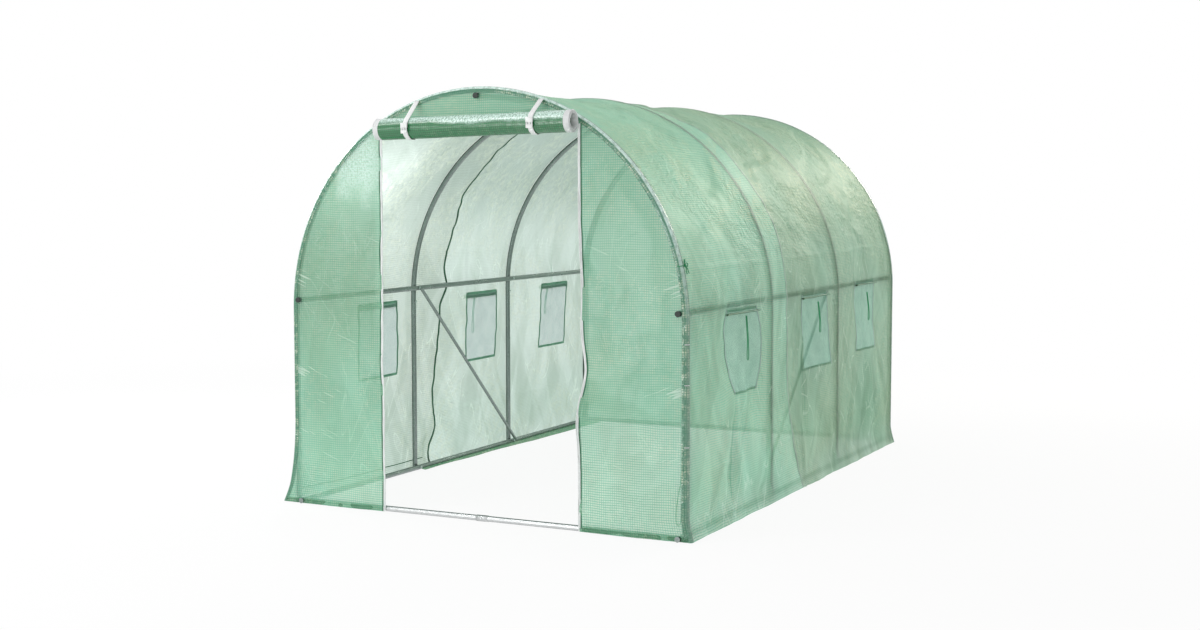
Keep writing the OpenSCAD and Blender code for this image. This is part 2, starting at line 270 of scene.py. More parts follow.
def window_warp(s, y):
    """The shifts along Y and upwards that pull the windows out of square."""
    up = height_up(s)
    along = np.zeros(np.broadcast(s, y).shape)
    lift = along.copy()
    height = (up - WINDOW_LOW) / (WINDOW_HIGH - WINDOW_LOW)
    inside = np.clip(height, 0, 1)
    near = hump(height, inside, 0.45)
    for side, _ in SIDES:
        here = (s > GIRTH / 2) == (side > 0)
        for k, centre in enumerate(WINDOWS):
            top, bottom, wide_top, wide_mid, wide_low, raise_by = WINDOW_PULL[side][k]
            off = y - centre
            beyond = np.maximum(0, np.abs(off) - WINDOW_W / 2)
            reach = hump(beyond, 0, 0.09) * near * here
            width = wide_low + (wide_top - wide_low) * inside + (
                (wide_mid - (wide_low + wide_top) / 2) * 4 * inside * (1 - inside))
            edge = np.clip(off, -WINDOW_W / 2, WINDOW_W / 2)
            wobble = 0.005 * noise(up * 15 + 5 * k, np.sign(off) * 3.3 + side, 71)
            along = along + (bottom + (top - bottom) * inside + edge * (width - 1)
                             + wobble) * reach
            lift = lift + raise_by * reach
    return along, lift


def over_hoops(s, radius):
    """The outward direction at girth s, and the height of a hoop of that radius there."""
    arc = np.clip((s - LEG) / CLOTH, 0, np.pi)
    out_x, out_z = -np.cos(arc), np.sin(arc)
    z = np.where(s < LEG, s, np.where(s > GIRTH - LEG, GIRTH - s, LEG + radius * out_z))
    return out_x, out_z, z


def place(s, y):
    """The place of the cover's flat point at girth s, and its outward direction."""
    s, y = np.broadcast_arrays(np.asarray(s, float), np.asarray(y, float))
    shift, lift = window_warp(s, y)
    out_x, out_z, base_z = over_hoops(s + np.where(s > GIRTH / 2, -lift, lift), CLOTH)
    along = y + seam_offset(s) * hump(y, SEAM, 0.16) + shift
    depth = cover_depth(s, y)
    points = stacked((CLOTH + depth) * out_x, along, base_z + depth * out_z)
    return points, stacked(out_x, 0.0, out_z)


def wrap(s, turn, end):
    """The cover's edge where it turns round an end hoop: end is -1 at the front."""
    s, turn = np.broadcast_arrays(np.asarray(s, float), np.asarray(turn, float))
    out_x, out_z, line_z = over_hoops(s, HOOP_LINE)
    r = TUBE_R + CLEAR
    hoop_y = FRONT if end < 0 else BACK
    reach = cover_depth(s, np.full_like(s, hoop_y)) + r * np.cos(turn)
    return stacked((HOOP_LINE + reach) * out_x, hoop_y + end * r * np.sin(turn),
                   line_z + reach * out_z)


# ---------------------------------------------------------------- the end panels' shape


def from_rim(x, z):
    """How far inside the hoops' centre line a flat point of an end panel lies."""
    return HOOP_LINE - np.where(z > LEG, np.hypot(x, z - LEG), np.abs(x))


def panel_place(x, z):
    """The place of a flat point of the front cloth."""
    x, z = np.broadcast_arrays(np.asarray(x, float), np.asarray(z, float))
    side = np.sign(x + 1e-9)
    across = np.clip((np.abs(x) - DOOR_EDGE) / (HOOP_LINE - DOOR_EDGE), 0, 1)
    free = smooth(0, 0.12, from_rim(x, z))
    # tension folds that run down from the hoop towards the zip
    pull = crease(x * 4.5 * side + z * 2.1, z * 3.4 - x * side * 2.0, 51 + (side > 0))
    fine = crease(x * 9 - z * 5.0, z * 8.5 + x * 3, 53 + (side > 0))
    depth = (0.006 * np.sin(np.pi * across) + 0.0040 * pull + 0.0018 * fine
             + 0.001 * noise(x * 14, z * 12, 57)) * free
    # the right edge of the door wanders in its lower half
    slack = np.where(side > 0, 1.0, 0.15) * (1 - across) ** 2
    wave = (0.034 * hump(z, 0.70, 0.12) - 0.010 * hump(z, 0.47, 0.10)
            + 0.014 * hump(z, 1.02, 0.25))
    depth = depth + 0.012 * hump(z, 0.66, 0.16) * slack * free
    corner = cover_depth(side_s(side, z), np.full_like(z, FRONT)) * across**2
    return stacked(x + side * (wave * slack + corner), PANEL_Y - depth, z)


def back_place(x, z):
    """The place of a flat point of the back cloth."""
    x, z = np.broadcast_arrays(np.asarray(x, float), np.asarray(z, float))
    free = smooth(0, 0.2, from_rim(x, z))
    depth = 0.010 + 0.004 * crease(x * 2.9 + z, z * 2.2 - x, 61) + (
        0.0018 * crease(x * 6 - z * 2, z * 5 + x, 63))
    return stacked(x, BACK_Y + depth * free, z)


# ---------------------------------------------------------------- meshes


def mesh_piece(name, points, faces, material, replaces=(), uv=None):
    """A smooth-shaded piece; uv gives each point's flat place in metres."""
    points = np.asarray(points, float).reshape(-1, 3)
    mesh = bpy.data.meshes.new(name)
    mesh.from_pydata(points.tolist(), [], [[int(k) for k in f] for f in faces])
    mesh.polygons.foreach_set("use_smooth", np.ones(len(mesh.polygons), bool))
    if uv is not None:
        corners = np.empty(len(mesh.loops), int)
        mesh.loops.foreach_get("vertex_index", corners)
        flat = np.asarray(uv, float).reshape(-1, 2)[corners]
        mesh.uv_layers.new(name="flat").data.foreach_set("uv", flat.ravel())
    mesh.update()
    mesh.materials.append(material)
    obj = bpy.data.objects.new(name, mesh)
    bpy.context.scene.collection.objects.link(obj)
    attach(obj, "root")
    if replaces:
        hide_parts(*replaces)
    return obj


def grid_faces(rows, columns, ring=False):
    """The quads of a grid of points, which ring closes to a tube."""
    i, j = np.meshgrid(np.arange(rows - 1), np.arange(columns if ring else columns - 1),
                       indexing="ij")
    right = (j + 1) % columns
    return np.stack([i * columns + j, (i + 1) * columns + j,
                     (i + 1) * columns + right, i * columns + right], -1)


def quads(points, ring=False):
    return grid_faces(*points.shape[:2], ring).reshape(-1, 4)


def closed_quads(rows):
    """The faces of a tube of points, closed at both ends."""
    count, sides = rows.shape[:2]
    faces = quads(rows, ring=True).tolist()
    faces.append(list(range(sides)))
    faces.append([(count - 1) * sides + k for k in range(sides)][::-1])
    return faces


def joined_piece(name, parts, material, replaces=()):
    """One piece made of several (points, faces, uv), or of (points, faces) alone."""
    points, faces, flats, start = [], [], [], 0
    for part in parts:
        p = np.asarray(part[0], float).reshape(-1, 3)
        points.append(p)
        faces += [[start + int(k) for k in face] for face in part[1]]
        if len(part) > 2:
            flats.append(np.asarray(part[2], float).reshape(-1, 2))
        start += len(p)
    return mesh_piece(name, np.vstack(points), faces, material, replaces,
                      np.vstack(flats) if flats else None)


def ribbon(points, outward, width, lift, closed=False):
    """A band along points that stands lift above the cloth, as (points, faces, uv)."""
    p = np.asarray(points, float)
    way = np.roll(p, -1, 0) - np.roll(p, 1, 0) if closed else np.gradient(p, axis=0)
    side = unit(np.cross(unit(way), outward))
    across = np.array((-1, -0.7, 0, 0.7, 1)) * width / 2
    rows = []
    for a in across:
        height = lift * (0.35 + 0.65 * math.sqrt(max(0.0, 1 - (2 * a / width) ** 2)))
        rows.append(p + side * a + outward * height)
    rows = np.array(rows)
    return rows, quads(rows, closed), stacked(across[:, None], line_length(p)[None, :])


def lathe(profile, at, axis, sides=18, turn=0.0):
    """A round or many-sided solid: profile is (radius, distance along the axis)."""
    axis = Vector(axis).normalized()
    side = axis.orthogonal().normalized()
    other = np.array(axis.cross(side))
    axis, side = np.array(axis), np.array(side)
    angles = np.arange(sides) * 2 * np.pi / sides + turn
    ring = np.cos(angles)[:, None] * side + np.sin(angles)[:, None] * other
    rows = np.array([np.array(at) + r * ring + h * axis for r, h in profile])
    return rows, closed_quads(rows)


def tube(points, radius, sides=8):
    """A round cord along points, with rounded ends."""
    p = np.asarray(points, float)
    way = unit(np.gradient(p, axis=0))
    side = np.cross(way[0], [0.31, 0.52, 0.79])
    sides_at = []
    for w in way:
        side = unit(side - w * side.dot(w))
        sides_at.append(side)
    u = np.array(sides_at)
    v = np.cross(way, u)
    angles = np.arange(sides) * 2 * np.pi / sides
    around = (np.cos(angles)[None, :, None] * u[:, None]
              + np.sin(angles)[None, :, None] * v[:, None])
    first = p[0] - way[0] * radius * 0.6 + 0.4 * radius * around[0]
    last = p[-1] + way[-1] * radius * 0.6 + 0.4 * radius * around[-1]
    rows = np.concatenate([first[None], p[:, None] + radius * around, last[None]])
    length = line_length(p)
    length = np.concatenate([[0], length, [length[-1]]])
    return rows, closed_quads(rows), stacked(angles[None, :] * radius, length[:, None])


def band(points, outward, side, width, thick):
    """A flat strap along points: a closed strip with soft edges."""
    side = np.asarray(side, float)
    half, t = width / 2, thick / 2
    section = ((-half, 0), (-half * 0.96, -t), (half * 0.96, -t), (half, 0),
               (half * 0.96, t), (half * 0.5, t * 1.25), (-half * 0.5, t * 1.25),
               (-half * 0.96, t))
    rows = np.array([points + a * side + b * outward for a, b in section]).transpose(1, 0, 2)
    across = np.array([a for a, b in section])
    return rows, closed_quads(rows), stacked(across[None, :], line_length(points)[:, None])


def moulded(centre, size, round_by):
    """A block with rounded edges, as (points, faces)."""
    made = bmesh.new()
    bmesh.ops.create_cube(made, size=1.0)
    bmesh.ops.scale(made, vec=size, verts=made.verts)
    bmesh.ops.bevel(made, geom=made.edges[:] + made.verts[:], offset=round_by, segments=3,
                    profile=0.6, affect="EDGES")
    bmesh.ops.translate(made, vec=centre, verts=made.verts)
    points = np.array([v.co[:] for v in made.verts])
    faces = [[v.index for v in f.verts] for f in made.faces]
    made.free()
    return points, faces


# ---------------------------------------------------------------- materials


class Wire:
    """A number that the nodes of a material work out, for use in plain arithmetic."""

    def __init__(self, shader, socket):
        self.shader, self.socket = shader, socket

    def __add__(self, other):
        return self.shader.math("ADD", self, other)

    def __sub__(self, other):
        return self.shader.math("SUBTRACT", self, other)

    def __rsub__(self, other):
        return self.shader.math("SUBTRACT", other, self)

    def __mul__(self, other):
        return self.shader.math("MULTIPLY", self, other)

    def __truediv__(self, other):
        return self.shader.math("DIVIDE", self, other)

    def __abs__(self):
        return self.shader.math("ABSOLUTE", self)


class Shader:
    """A node material in the making."""

    def __init__(self, name, owner=None):
        self.material = owner or bpy.data.materials.new(name)
        self.material.use_nodes = True
        self.tree = self.material.node_tree
        self.tree.nodes.clear()

    def node(self, kind, inputs=None, **settings):
        made = self.tree.nodes.new("ShaderNode" + kind)
        for key, value in settings.items():
            setattr(made, key, value)
        for key, value in (inputs or {}).items():
            if isinstance(value, Wire):
                value = value.socket
            if isinstance(value, bpy.types.NodeSocket):
                self.tree.links.new(value, made.inputs[key])
            else:
                made.inputs[key].default_value = value
        return made

    def surface(self, kind, **inputs):
        named = {key.replace("_", " "): value for key, value in inputs.items()}
        return self.node(kind, named).outputs[0]

    def blend(self, share, a, b):
        return self.node("MixShader", {0: share, 1: a, 2: b}).outputs[0]

    def math(self, operation, a, b=0.0):
        return Wire(self, self.node("Math", {0: a, 1: b}, operation=operation).outputs[0])

    def larger(self, a, b):
        return self.math("MAXIMUM", a, b)

    def smaller(self, a, b):
        return self.math("MINIMUM", a, b)

    def vector(self, operation, a, b=(0, 0, 0)):
        made = self.node("VectorMath", {0: a, 1: b}, operation=operation)
        if operation in ("DOT_PRODUCT", "LENGTH"):
            return Wire(self, made.outputs["Value"])
        return made.outputs["Vector"]

    def join(self, x=0.0, y=0.0, z=0.0):
        return self.node("CombineXYZ", {"X": x, "Y": y, "Z": z}).outputs[0]

    def split(self, vector):
        return [Wire(self, out) for out in self.node("SeparateXYZ", {0: vector}).outputs]

    def flat(self):
        """The place on the flat cut, in metres."""
        return self.node("UVMap", uv_map="flat").outputs["UV"]

    def geometry(self, output):
        return self.node("NewGeometry").outputs[output]

    def ramp(self, value, low, high, start=0.0, end=1.0):
        """start below low and end above high, smooth between."""
        inputs = {"Value": value, "From Min": low, "From Max": high,
                  "To Min": start, "To Max": end}
        return Wire(self, self.node(
            "MapRange", inputs, interpolation_type="SMOOTHSTEP").outputs["Result"])

    def mix(self, share, a, b):
        return self.node("Mix", {"Factor": share, 6: a, 7: b}, data_type="RGBA").outputs[2]

    def noise(self, where, scale, detail=2.0, roughness=0.5, distortion=0.0):
        inputs = {"Vector": where, "Scale": scale, "Detail": detail,
                  "Roughness": roughness, "Distortion": distortion}
        return Wire(self, self.node("TexNoise", inputs).outputs["Fac"])

    def cells(self, where, scale):
        """A number for each cell of a cracked pattern."""
        made = self.node("TexVoronoi", {"Vector": where, "Scale": scale})
        return self.split(made.outputs["Color"])[0]

    def stretched(self, flat, turn, first, second):
        """Flat coordinates turned, then scaled by one number along each turned axis."""
        return self.node("Mapping", {
            "Vector": flat, "Rotation": (0, 0, turn),
            "Scale": (1 / first, 1 / second, 1.0)}, vector_type="TEXTURE").outputs[0]

    def lines(self, coordinate, pitch, width):
        """1 on evenly spaced threads of the given width, and 0 between."""
        off = abs(self.math("FRACT", coordinate * (1 / pitch)) - 0.5)
        half = 0.5 - width / pitch / 2
        return self.ramp(off, half - 0.06, half + 0.03)

    def bump(self, height, distance, strength=1.0, **normal):
        return self.surface("Bump", Height=height, Distance=distance, Strength=strength,
                            **normal)

    def end(self, surface):
        self.node("OutputMaterial", {"Surface": surface})
        return self.material


def colour(r, g, b, share=1.0):
    return (r * share, g * share, b * share, 1.0)


def cloth_material(name, film, thread, opacity, thread_opacity, pitch=0.0104,
                   thread_share=0.27, roughness=0.27, crinkle=1.0, white=0.6, turn=0.35,
                   through=0.62, streaky=0.0, inner=None, painted_fold_shading=0.0, foot=0.0, foil=0.3,
                   roof=0.0, pulled_edge=0.0, glint=None, painted_panel_shading=0.0):
    """See-through reinforced cloth: a film with a square grid of threads in it."""
    sh = Shader(name)
    flat = sh.flat()
    girth, along, _ = sh.split(flat)
    up = sh.smaller(girth, GIRTH - girth)
    wander = sh.noise(flat, 7.0, 1.0)
    threads = sh.larger(
        sh.lines(girth + wander * 0.012, pitch, pitch * thread_share),
        sh.lines(along + wander * -0.008, pitch, pitch * thread_share) * 0.8)
    # foil-like crumples from packing, which come in patches
    patches = sh.ramp(sh.noise(flat, 2.3, 2.0), 0.40, 0.55)
    ridges = abs(sh.noise(flat, 15.0, 3.0, 0.6) - 0.5)
    folds = sh.ramp(ridges, 0.0, 0.012, 1.0, 0.0) * sh.ramp(
        sh.noise(flat, 9.0, 2.0), 0.50, 0.62)
    # a few long, thin streaks where the cloth is pulled
    streaks = sh.ramp(sh.noise(sh.stretched(flat, turn, 46.0, 3.0), 1.0), 0.66, 0.71)
    streaks = streaks * sh.ramp(sh.noise(flat, 3.1, 1.0), 0.50, 0.56, 0.0, streaky)
    marks = sh.larger(folds * (patches * foil), streaks)
    film_colour = sh.mix(sh.ramp(sh.noise(flat, 1.5, 3.0), 0.35, 0.65), colour(*film),
                         colour(film[0] * 1.16, film[1] * 0.97, film[2] * 0.90))
    thread_colour = colour(*thread)
    if foot:  # the foot of the cloth is paler, in patches
        pale = sh.ramp(sh.noise(flat, 3.0, 2.0), 0.38, 0.62, 0.3, 1.0)
        film_colour = sh.mix(sh.ramp(up, 0.03, 0.22, 0.8, 0.0) * pale, film_colour,
                             colour(0.66, 0.84, 0.72))
    if roof:
        # painted sheen: yellowish-white glints painted on the crumpled top of the roof, down
        # to an uneven edge
        low_edge = up + (sh.noise(flat, 1.9, 2.0, 0.4) - 0.5) * 1.3
        painted_roof_sheen = sh.ramp(low_edge, 1.36, 1.41) * sh.ramp(up, 1.55, 2.25, 1.0, 0.25)
        painted_roof_sheen = painted_roof_sheen * sh.ramp(
            sh.noise(sh.stretched(flat, 0.0, 44.0, 22.0), 1.0, 5.0, 0.75),
            0.42, 0.58, 0.30 * roof, roof)
        bent = sh.vector("ADD", sh.stretched(flat, 0.5, 6.5, 3.0),
                         sh.join(sh.noise(flat, 6.0, 2.0) * 0.9))
        painted_roof_sheen = painted_roof_sheen * sh.ramp(sh.cells(bent, 1.0), 0.15, 0.75, 0.25, 1.0)
        film_colour = sh.mix(painted_roof_sheen, film_colour, colour(0.86, 0.95, 0.66))
    if inner:  # the side that faces into the tunnel is greyer, with painted light inside the walls and painted shade under the roof
        inside = sh.geometry("Backfacing")
        film_colour = sh.mix(inside, film_colour, sh.mix(
            sh.ramp(up, 1.05, 1.6), colour(*inner, 1.16), colour(*inner, 0.66)))
        thread_colour = sh.mix(inside, thread_colour, colour(*inner, 0.78))
    # painted shade and painted highlight of loose folds across the cloth, stronger on the
    # walls: dark hollows and pale crests
    hollow = sh.noise(sh.stretched(flat, 0.30, 1.3, 5.2), 1.0, 2.0, 0.5, 0.6)
    second = sh.noise(sh.stretched(flat, -0.45, 1.5, 7.0), 1.0, 2.0, 0.5, 0.6)
    loose = sh.ramp(up, 0.95, 1.4, 1.0, 0.35)
    painted_shade = 1.0 - loose * (sh.ramp(hollow, 0.36, 0.60, 0.30 * painted_fold_shading, 0.0)
                           + sh.ramp(second, 0.38, 0.58, 0.22 * painted_fold_shading, 0.0))
    if painted_panel_shading:  # painted shade: a soft dark hollow half way up the left of the end cloth, and painted light on the lower part of the end cloth
        left = sh.ramp(along, -0.55, -0.50, painted_panel_shading, 0.0)
        middle = sh.ramp(abs(up - 1.12), 0.10, 0.50, 1.0, 0.0)
        painted_shade = painted_shade * (sh.ramp(up, 0.15, 0.85, 1.22, 1.0) - left * middle)
    painted_crest = sh.ramp(sh.smaller(abs(hollow - 0.52), abs(second - 0.50)), 0.0, 0.008, 1.0, 0.0)
    painted_crest = painted_crest * sh.ramp(sh.noise(flat, 4.0, 1.0), 0.46, 0.60, 0.0, 0.9 * painted_fold_shading) * loose
    # the film goes milky where it is crumpled
    milky = patches * sh.ramp(sh.noise(flat, 30.0, 5.0, 0.7), 0.42, 0.64, 0.0, 0.7 * white)
    film_colour = sh.mix(milky, film_colour, colour(0.78, 0.86, 0.62))
    # the painted fold shade darkens the cloth's colour
    base = sh.vector("MULTIPLY", sh.mix(threads, film_colour, thread_colour),
                     sh.join(painted_shade, sh.math("POWER", painted_shade, 0.8), painted_shade))
    # the pale fold crests are painted highlights and join the marks
    marks = sh.larger(marks, painted_crest)
    if roof:  # painted highlight: a pale line where the cloth is drawn over each hoop
        bays = (along - FRONT) / BAY
        off_hoop = abs(bays - sh.math("ROUND", bays)) * BAY
        marks = sh.larger(marks, sh.ramp(off_hoop, 0.005, 0.012, 1.0, 0.0)
                          * sh.ramp(up, 1.1, 1.6))
    if pulled_edge:  # fans of thin streaks where the end cloth is drawn round the legs
        rim = abs(along)
        fans = 0.0
        for height, spread in PULLS:
            fans = sh.larger(fans, sh.ramp(abs(up - height), 0.0, spread, 1.0, 0.0))
        fans = fans * sh.ramp(rim, HOOP_LINE - 0.30, HOOP_LINE - 0.02)
        thin = sh.noise(sh.stretched(sh.join(girth, rim), -0.36, 90.0, 5.0), 1.0)
        marks = sh.larger(marks, sh.ramp(
            thin - (1.0 - fans) * 0.30, 0.50, 0.56, 0.0, pulled_edge))
    base = sh.mix(marks * white, base, colour(0.84, 0.95, 0.86))
    if glint:  # painted highlight: pale speckled glints
        base = sh.mix(glint(sh, flat), base, colour(0.76, 0.98, 0.90))
    height = (sh.noise(flat, 38.0, 4.0, 0.62) * 0.8 + ridges * 3.0) * (patches * 0.9 + 0.30)
    normal = sh.bump(height, 0.0055 * crinkle)
    normal = sh.bump(threads, 0.00010, Normal=normal)
    skin = sh.surface("BsdfPrincipled", Base_Color=base, Roughness=roughness, Normal=normal,
                      Specular_IOR_Level=1.0)
    glow = sh.surface("BsdfTranslucent", Color=base, Normal=normal)
    clear = sh.surface("BsdfTransparent", Color=colour(0.95, 0.975, 0.96))
    solid = threads * (thread_opacity - opacity) + opacity + marks * (0.45 * white)
    # little shows through the crumpled roof, or through the doubled skirt
    if roof:
        solid = solid + sh.ramp(up, 1.15, 1.65, 0.0, 0.24)
    solid = sh.smaller(solid + sh.ramp(up, 0.10, 0.55, foot, 0.0), 1.0)
    return sh.end(sh.blend(solid, clear, sh.blend(through, skin, glow)))


def roll_glint(sh, flat):
    """A painted highlight: pale speckles along the top of the rolled-up door."""
    facing = sh.split(sh.geometry("Normal"))[2]
    start = sh.ramp(sh.split(flat)[1], -0.45, 0.10, 0.42, 0.02)
    height = abs(facing) - start + (sh.noise(flat, 12.0, 2.0) - 0.5) * 0.5
    speckle = sh.ramp(sh.noise(flat, 120.0, 3.0, 0.6), 0.36, 0.60, 0.35, 1.0)
    return sh.ramp(height, 0.0, 0.45) * speckle * sh.ramp(facing, -0.02, 0.02, 0.0, 0.88)


def panel_glint(sh, flat):
    """A painted highlight: a speckled pale patch at the top of the left end cloth, beside the
    door.
    """
    high, along, _ = sh.split(flat)
    high, along = (high - GLINT_AT[1]) / 0.27, (along - GLINT_AT[0]) / 0.20
    away = high * high + along * along + (sh.noise(flat, 9.0, 3.0) - 0.5) * 1.6
    speckle = sh.ramp(sh.noise(flat, 95.0, 3.0, 0.6), 0.36, 0.58, 0.30, 1.0)
    return sh.ramp(away, 0.0, 1.0, 0.80, 0.0) * speckle


def hem_glint(sh, flat):
    """A painted highlight: pale speckles along the front of the arch."""
    at = sh.geometry("Position")
    facing = sh.vector("DOT_PRODUCT", sh.geometry("Normal"), outward_way(sh, at, 0.75))
    high = sh.ramp(sh.split(at)[2], LEG - 0.1, LEG + 0.50, 0.08, 1.0)
    speckle = sh.ramp(sh.noise(flat, 50.0, 3.0, 0.6), 0.40, 0.52, 0.60, 1.0)
    return sh.ramp(facing, 0.80, 0.93) * speckle * high


def outward_way(sh, at, forward=0.0):
    """The direction away from the tunnel's middle, and to the front by a share."""
    x, _, z = sh.split(at)
    away = sh.vector("NORMALIZE", sh.join(x, 0.0, sh.larger(0.0, z - LEG)))
    if not forward:
        return away
    return sh.vector("NORMALIZE", sh.vector("ADD", away, (0.0, -forward, 0.0)))


def plain_cloth(name, tint, roughness, pitch, clear=0.0, fade=0.72):
    """Close woven cloth or tape, with a fine rib."""
    sh = Shader(name)
    flat = sh.flat()
    across, along, _ = sh.split(flat)
    ribs = 2 * math.pi / pitch
    weave = sh.math("SINE", across * ribs) * sh.math("SINE", along * ribs)
    dark = colour(*tint, fade)
    base = sh.mix(sh.ramp(sh.noise(flat, 14.0, 3.0), 0.3, 0.7), dark, colour(*tint))
    base = sh.mix(sh.ramp(weave, -1.0, 1.0, 0.0, 0.25), base, dark)
    height = weave * 0.1 + sh.noise(flat, 60.0, 3.0) * 0.5
    skin = sh.surface("BsdfPrincipled", Base_Color=base, Roughness=roughness,
                      Sheen_Weight=0.1, Normal=sh.bump(height, 0.0012))
    if clear <= 0:
        return sh.end(skin)
    return sh.end(sh.blend(clear, skin, sh.surface("BsdfTranslucent", Color=base)))


def galvanised_material(name, dark=0.22, light=0.42, edges=0.0):
    """Zinc-coated steel tube: faint spangle, soft streaks and small scuffs."""
    sh = Shader(name)
    where = sh.node("TexCoord").outputs["Object"]
    tone = sh.cells(where, 240.0) * 0.35 + sh.noise(where, 9.0, 4.0) * 0.6
    red, blue = (0.97, 1.0) if edges else (0.86, 0.96)
    base = sh.mix(tone, *[colour(c * red, c, c * blue) for c in (dark, light)])
    facing = sh.geometry("Normal")
    if edges:  # darker along the top and foot of a level tube
        top_and_foot = sh.ramp(abs(sh.split(facing)[2]), 0.62, 0.92, 0.0, edges)
        base = sh.mix(top_and_foot, base, colour(0.10, 0.12, 0.13))
    else:  # painted shade: darker on the side that faces the cloth
        outer = sh.vector("DOT_PRODUCT", facing, outward_way(sh, where))
        base = sh.mix(sh.ramp(outer, 0.0, 0.6, 0.0, 0.95), base, colour(0.03, 0.045, 0.04))
    rough = sh.ramp(sh.noise(where, 30.0, 3.0), 0.3, 0.7, 0.26, 0.44)
    normal = sh.bump(sh.noise(where, 420.0, 2.0), 0.0003, 0.5)
    return sh.end(sh.surface("BsdfPrincipled", Base_Color=base, Metallic=0.9,
                             Roughness=rough, Normal=normal))


def plastic_material(name, tint, roughness):
    """Moulded plastic with a faint grain."""
    sh = Shader(name)
    where = sh.node("TexCoord").outputs["Object"]
    cloud = sh.noise(where, 45.0, 3.0)
    base = sh.mix(sh.ramp(cloud, 0.3, 0.7), colour(*tint), colour(*tint, 0.86))
    rough = sh.ramp(cloud, 0.3, 0.7, roughness, roughness + 0.12)
    normal = sh.bump(sh.noise(where, 600.0, 2.0), 0.0002, 0.6)
    return sh.end(sh.surface("BsdfPrincipled", Base_Color=base, Roughness=rough,
                             Normal=normal))


def net_material(name, dark, light, closed):
    """Fine insect net: a pale open weave."""
    sh = Shader(name)
    flat = sh.flat()
    weave = sh.larger(*[sh.lines(part, 0.0016, 0.0006) for part in sh.split(flat)[:2]])
    base = sh.mix(sh.ramp(sh.noise(flat, 12.0, 2.0), 0.3, 0.7), colour(*dark), colour(*light))
    skin = sh.surface("BsdfPrincipled", Base_Color=base, Roughness=0.55,
                      Normal=sh.bump(weave, 0.0003))
    body = sh.blend(0.5, skin, sh.surface("BsdfTranslucent", Color=base))
    hole = sh.surface("BsdfTransparent", Color=colour(0.93, 0.96, 0.96))
    return sh.end(sh.blend(weave * 0.42 + closed, hole, body))


# Where the painted highlight on the end cloth lies: across and up
GLINT_AT = (-0.62, 1.64)
# Heights where the end cloth is drawn tight round the legs, and how far each fan spreads
PULLS = ((1.06, 0.10), (0.63, 0.07), (0.34, 0.05))
# for the cover, the fold setting paints shade in hollows and highlights on crests, and the
# roof setting paints sheen and hoop highlights on the roof besides making it more opaque
COVER_LOOK = {"painted_fold_shading": 0.62, "foot": 0.16, "roof": 0.9, "roughness": 0.42}
front_cloth = cloth_material(
    "front_cover_cloth", (0.53, 0.91, 0.70), (0.24, 0.60, 0.42), 0.68, 0.92,
    inner=(0.515, 0.64, 0.57), **COVER_LOOK)
panel_cloth = cloth_material(
    "panel_cloth", (0.40, 0.78, 0.56), (0.15, 0.48, 0.31), 0.68, 0.92, turn=0.36,
    white=0.5, crinkle=0.12, through=0.45, streaky=0.5, roughness=0.32, painted_fold_shading=0.3,
    pulled_edge=1.0, painted_panel_shading=0.30, glint=panel_glint)
rear_cloth = cloth_material(
    "rear_cover_cloth", (0.46, 0.74, 0.54), (0.23, 0.46, 0.31), 0.70, 0.92, pitch=0.0082,
    thread_share=0.24, inner=(0.57, 0.71, 0.645), **COVER_LOOK)
door_cloth = cloth_material(
    "door_cloth", (0.004, 0.19, 0.055), (0.002, 0.11, 0.03), 1.0, 1.0, through=0.0,
    roughness=0.26, crinkle=0.25, white=0.1, glint=roll_glint)
hem_cloth = cloth_material(
    "hem_cloth", (0.085, 0.30, 0.19), (0.035, 0.20, 0.11), 0.88, 0.97, roughness=0.18,
    crinkle=0.8, white=0.9, through=0.08, turn=0.0, streaky=1.0, foil=0.5,
    glint=hem_glint)
seam_cloth = plain_cloth("seam_cloth", (0.030, 0.19, 0.09), 0.4, 0.002, clear=0.25)
binding_cloth = plain_cloth("binding_cloth", (0.19, 0.44, 0.30), 0.5, 0.002, clear=0.4)
pale_binding = plain_cloth("pale_binding", (0.38, 0.60, 0.49), 0.5, 0.002, clear=0.5)
white_tape = plain_cloth("white_tape", (0.92, 0.94, 0.94), 0.6, 0.0016, clear=0.15, fade=0.9)
webbing = plain_cloth("strap_webbing", (0.93, 0.94, 0.94), 0.55, 0.0024, fade=0.88)
tie_material = plain_cloth("tie_cord", (0.015, 0.34, 0.13), 0.5, 0.0015)
selvage = plain_cloth("window_selvage", (0.62, 0.78, 0.76), 0.5, 0.0016, clear=0.2)
pale_seam = plain_cloth("pale_seam", (0.40, 0.60, 0.47), 0.35, 0.003, clear=0.1)
flap_cloth = cloth_material(
    "flap_cloth", (0.56, 0.86, 0.66), (0.38, 0.68, 0.50), 0.66, 0.88, crinkle=0.6)
pale_flap_cloth = cloth_material(
    "pale_flap_cloth", (0.52, 0.76, 0.62), (0.32, 0.56, 0.43), 0.60, 0.85, crinkle=0.6)
foot_cloth = cloth_material(
    "foot_cloth", (0.26, 0.52, 0.36), (0.10, 0.34, 0.20), 0.58, 0.88, crinkle=1.2, white=0.8)
loose_cloth = cloth_material(
    "loose_cloth", (0.13, 0.37, 0.18), (0.06, 0.26, 0.13), 0.90, 0.97, crinkle=1.2, white=0.8)
galvanised = galvanised_material("galvanised_tube")
buckle_plastic = plastic_material("buckle_plastic", (0.88, 0.90, 0.89), 0.35)
plug_plastic = plastic_material("plug_plastic", (0.02, 0.03, 0.025), 0.45)
bright_zinc = galvanised_material("bright_zinc", 0.50, 0.78)
rail_zinc = galvanised_material("rail_zinc", 0.50, 0.78, edges=0.8)
left_net = net_material("window_net", (0.29, 0.46, 0.41), (0.37, 0.54, 0.48), 0.38)
right_net = net_material("green_window_net", (0.32, 0.61, 0.47), (0.41, 0.71, 0.56), 0.50)

# ---------------------------------------------------------------- CAD nodes that stay

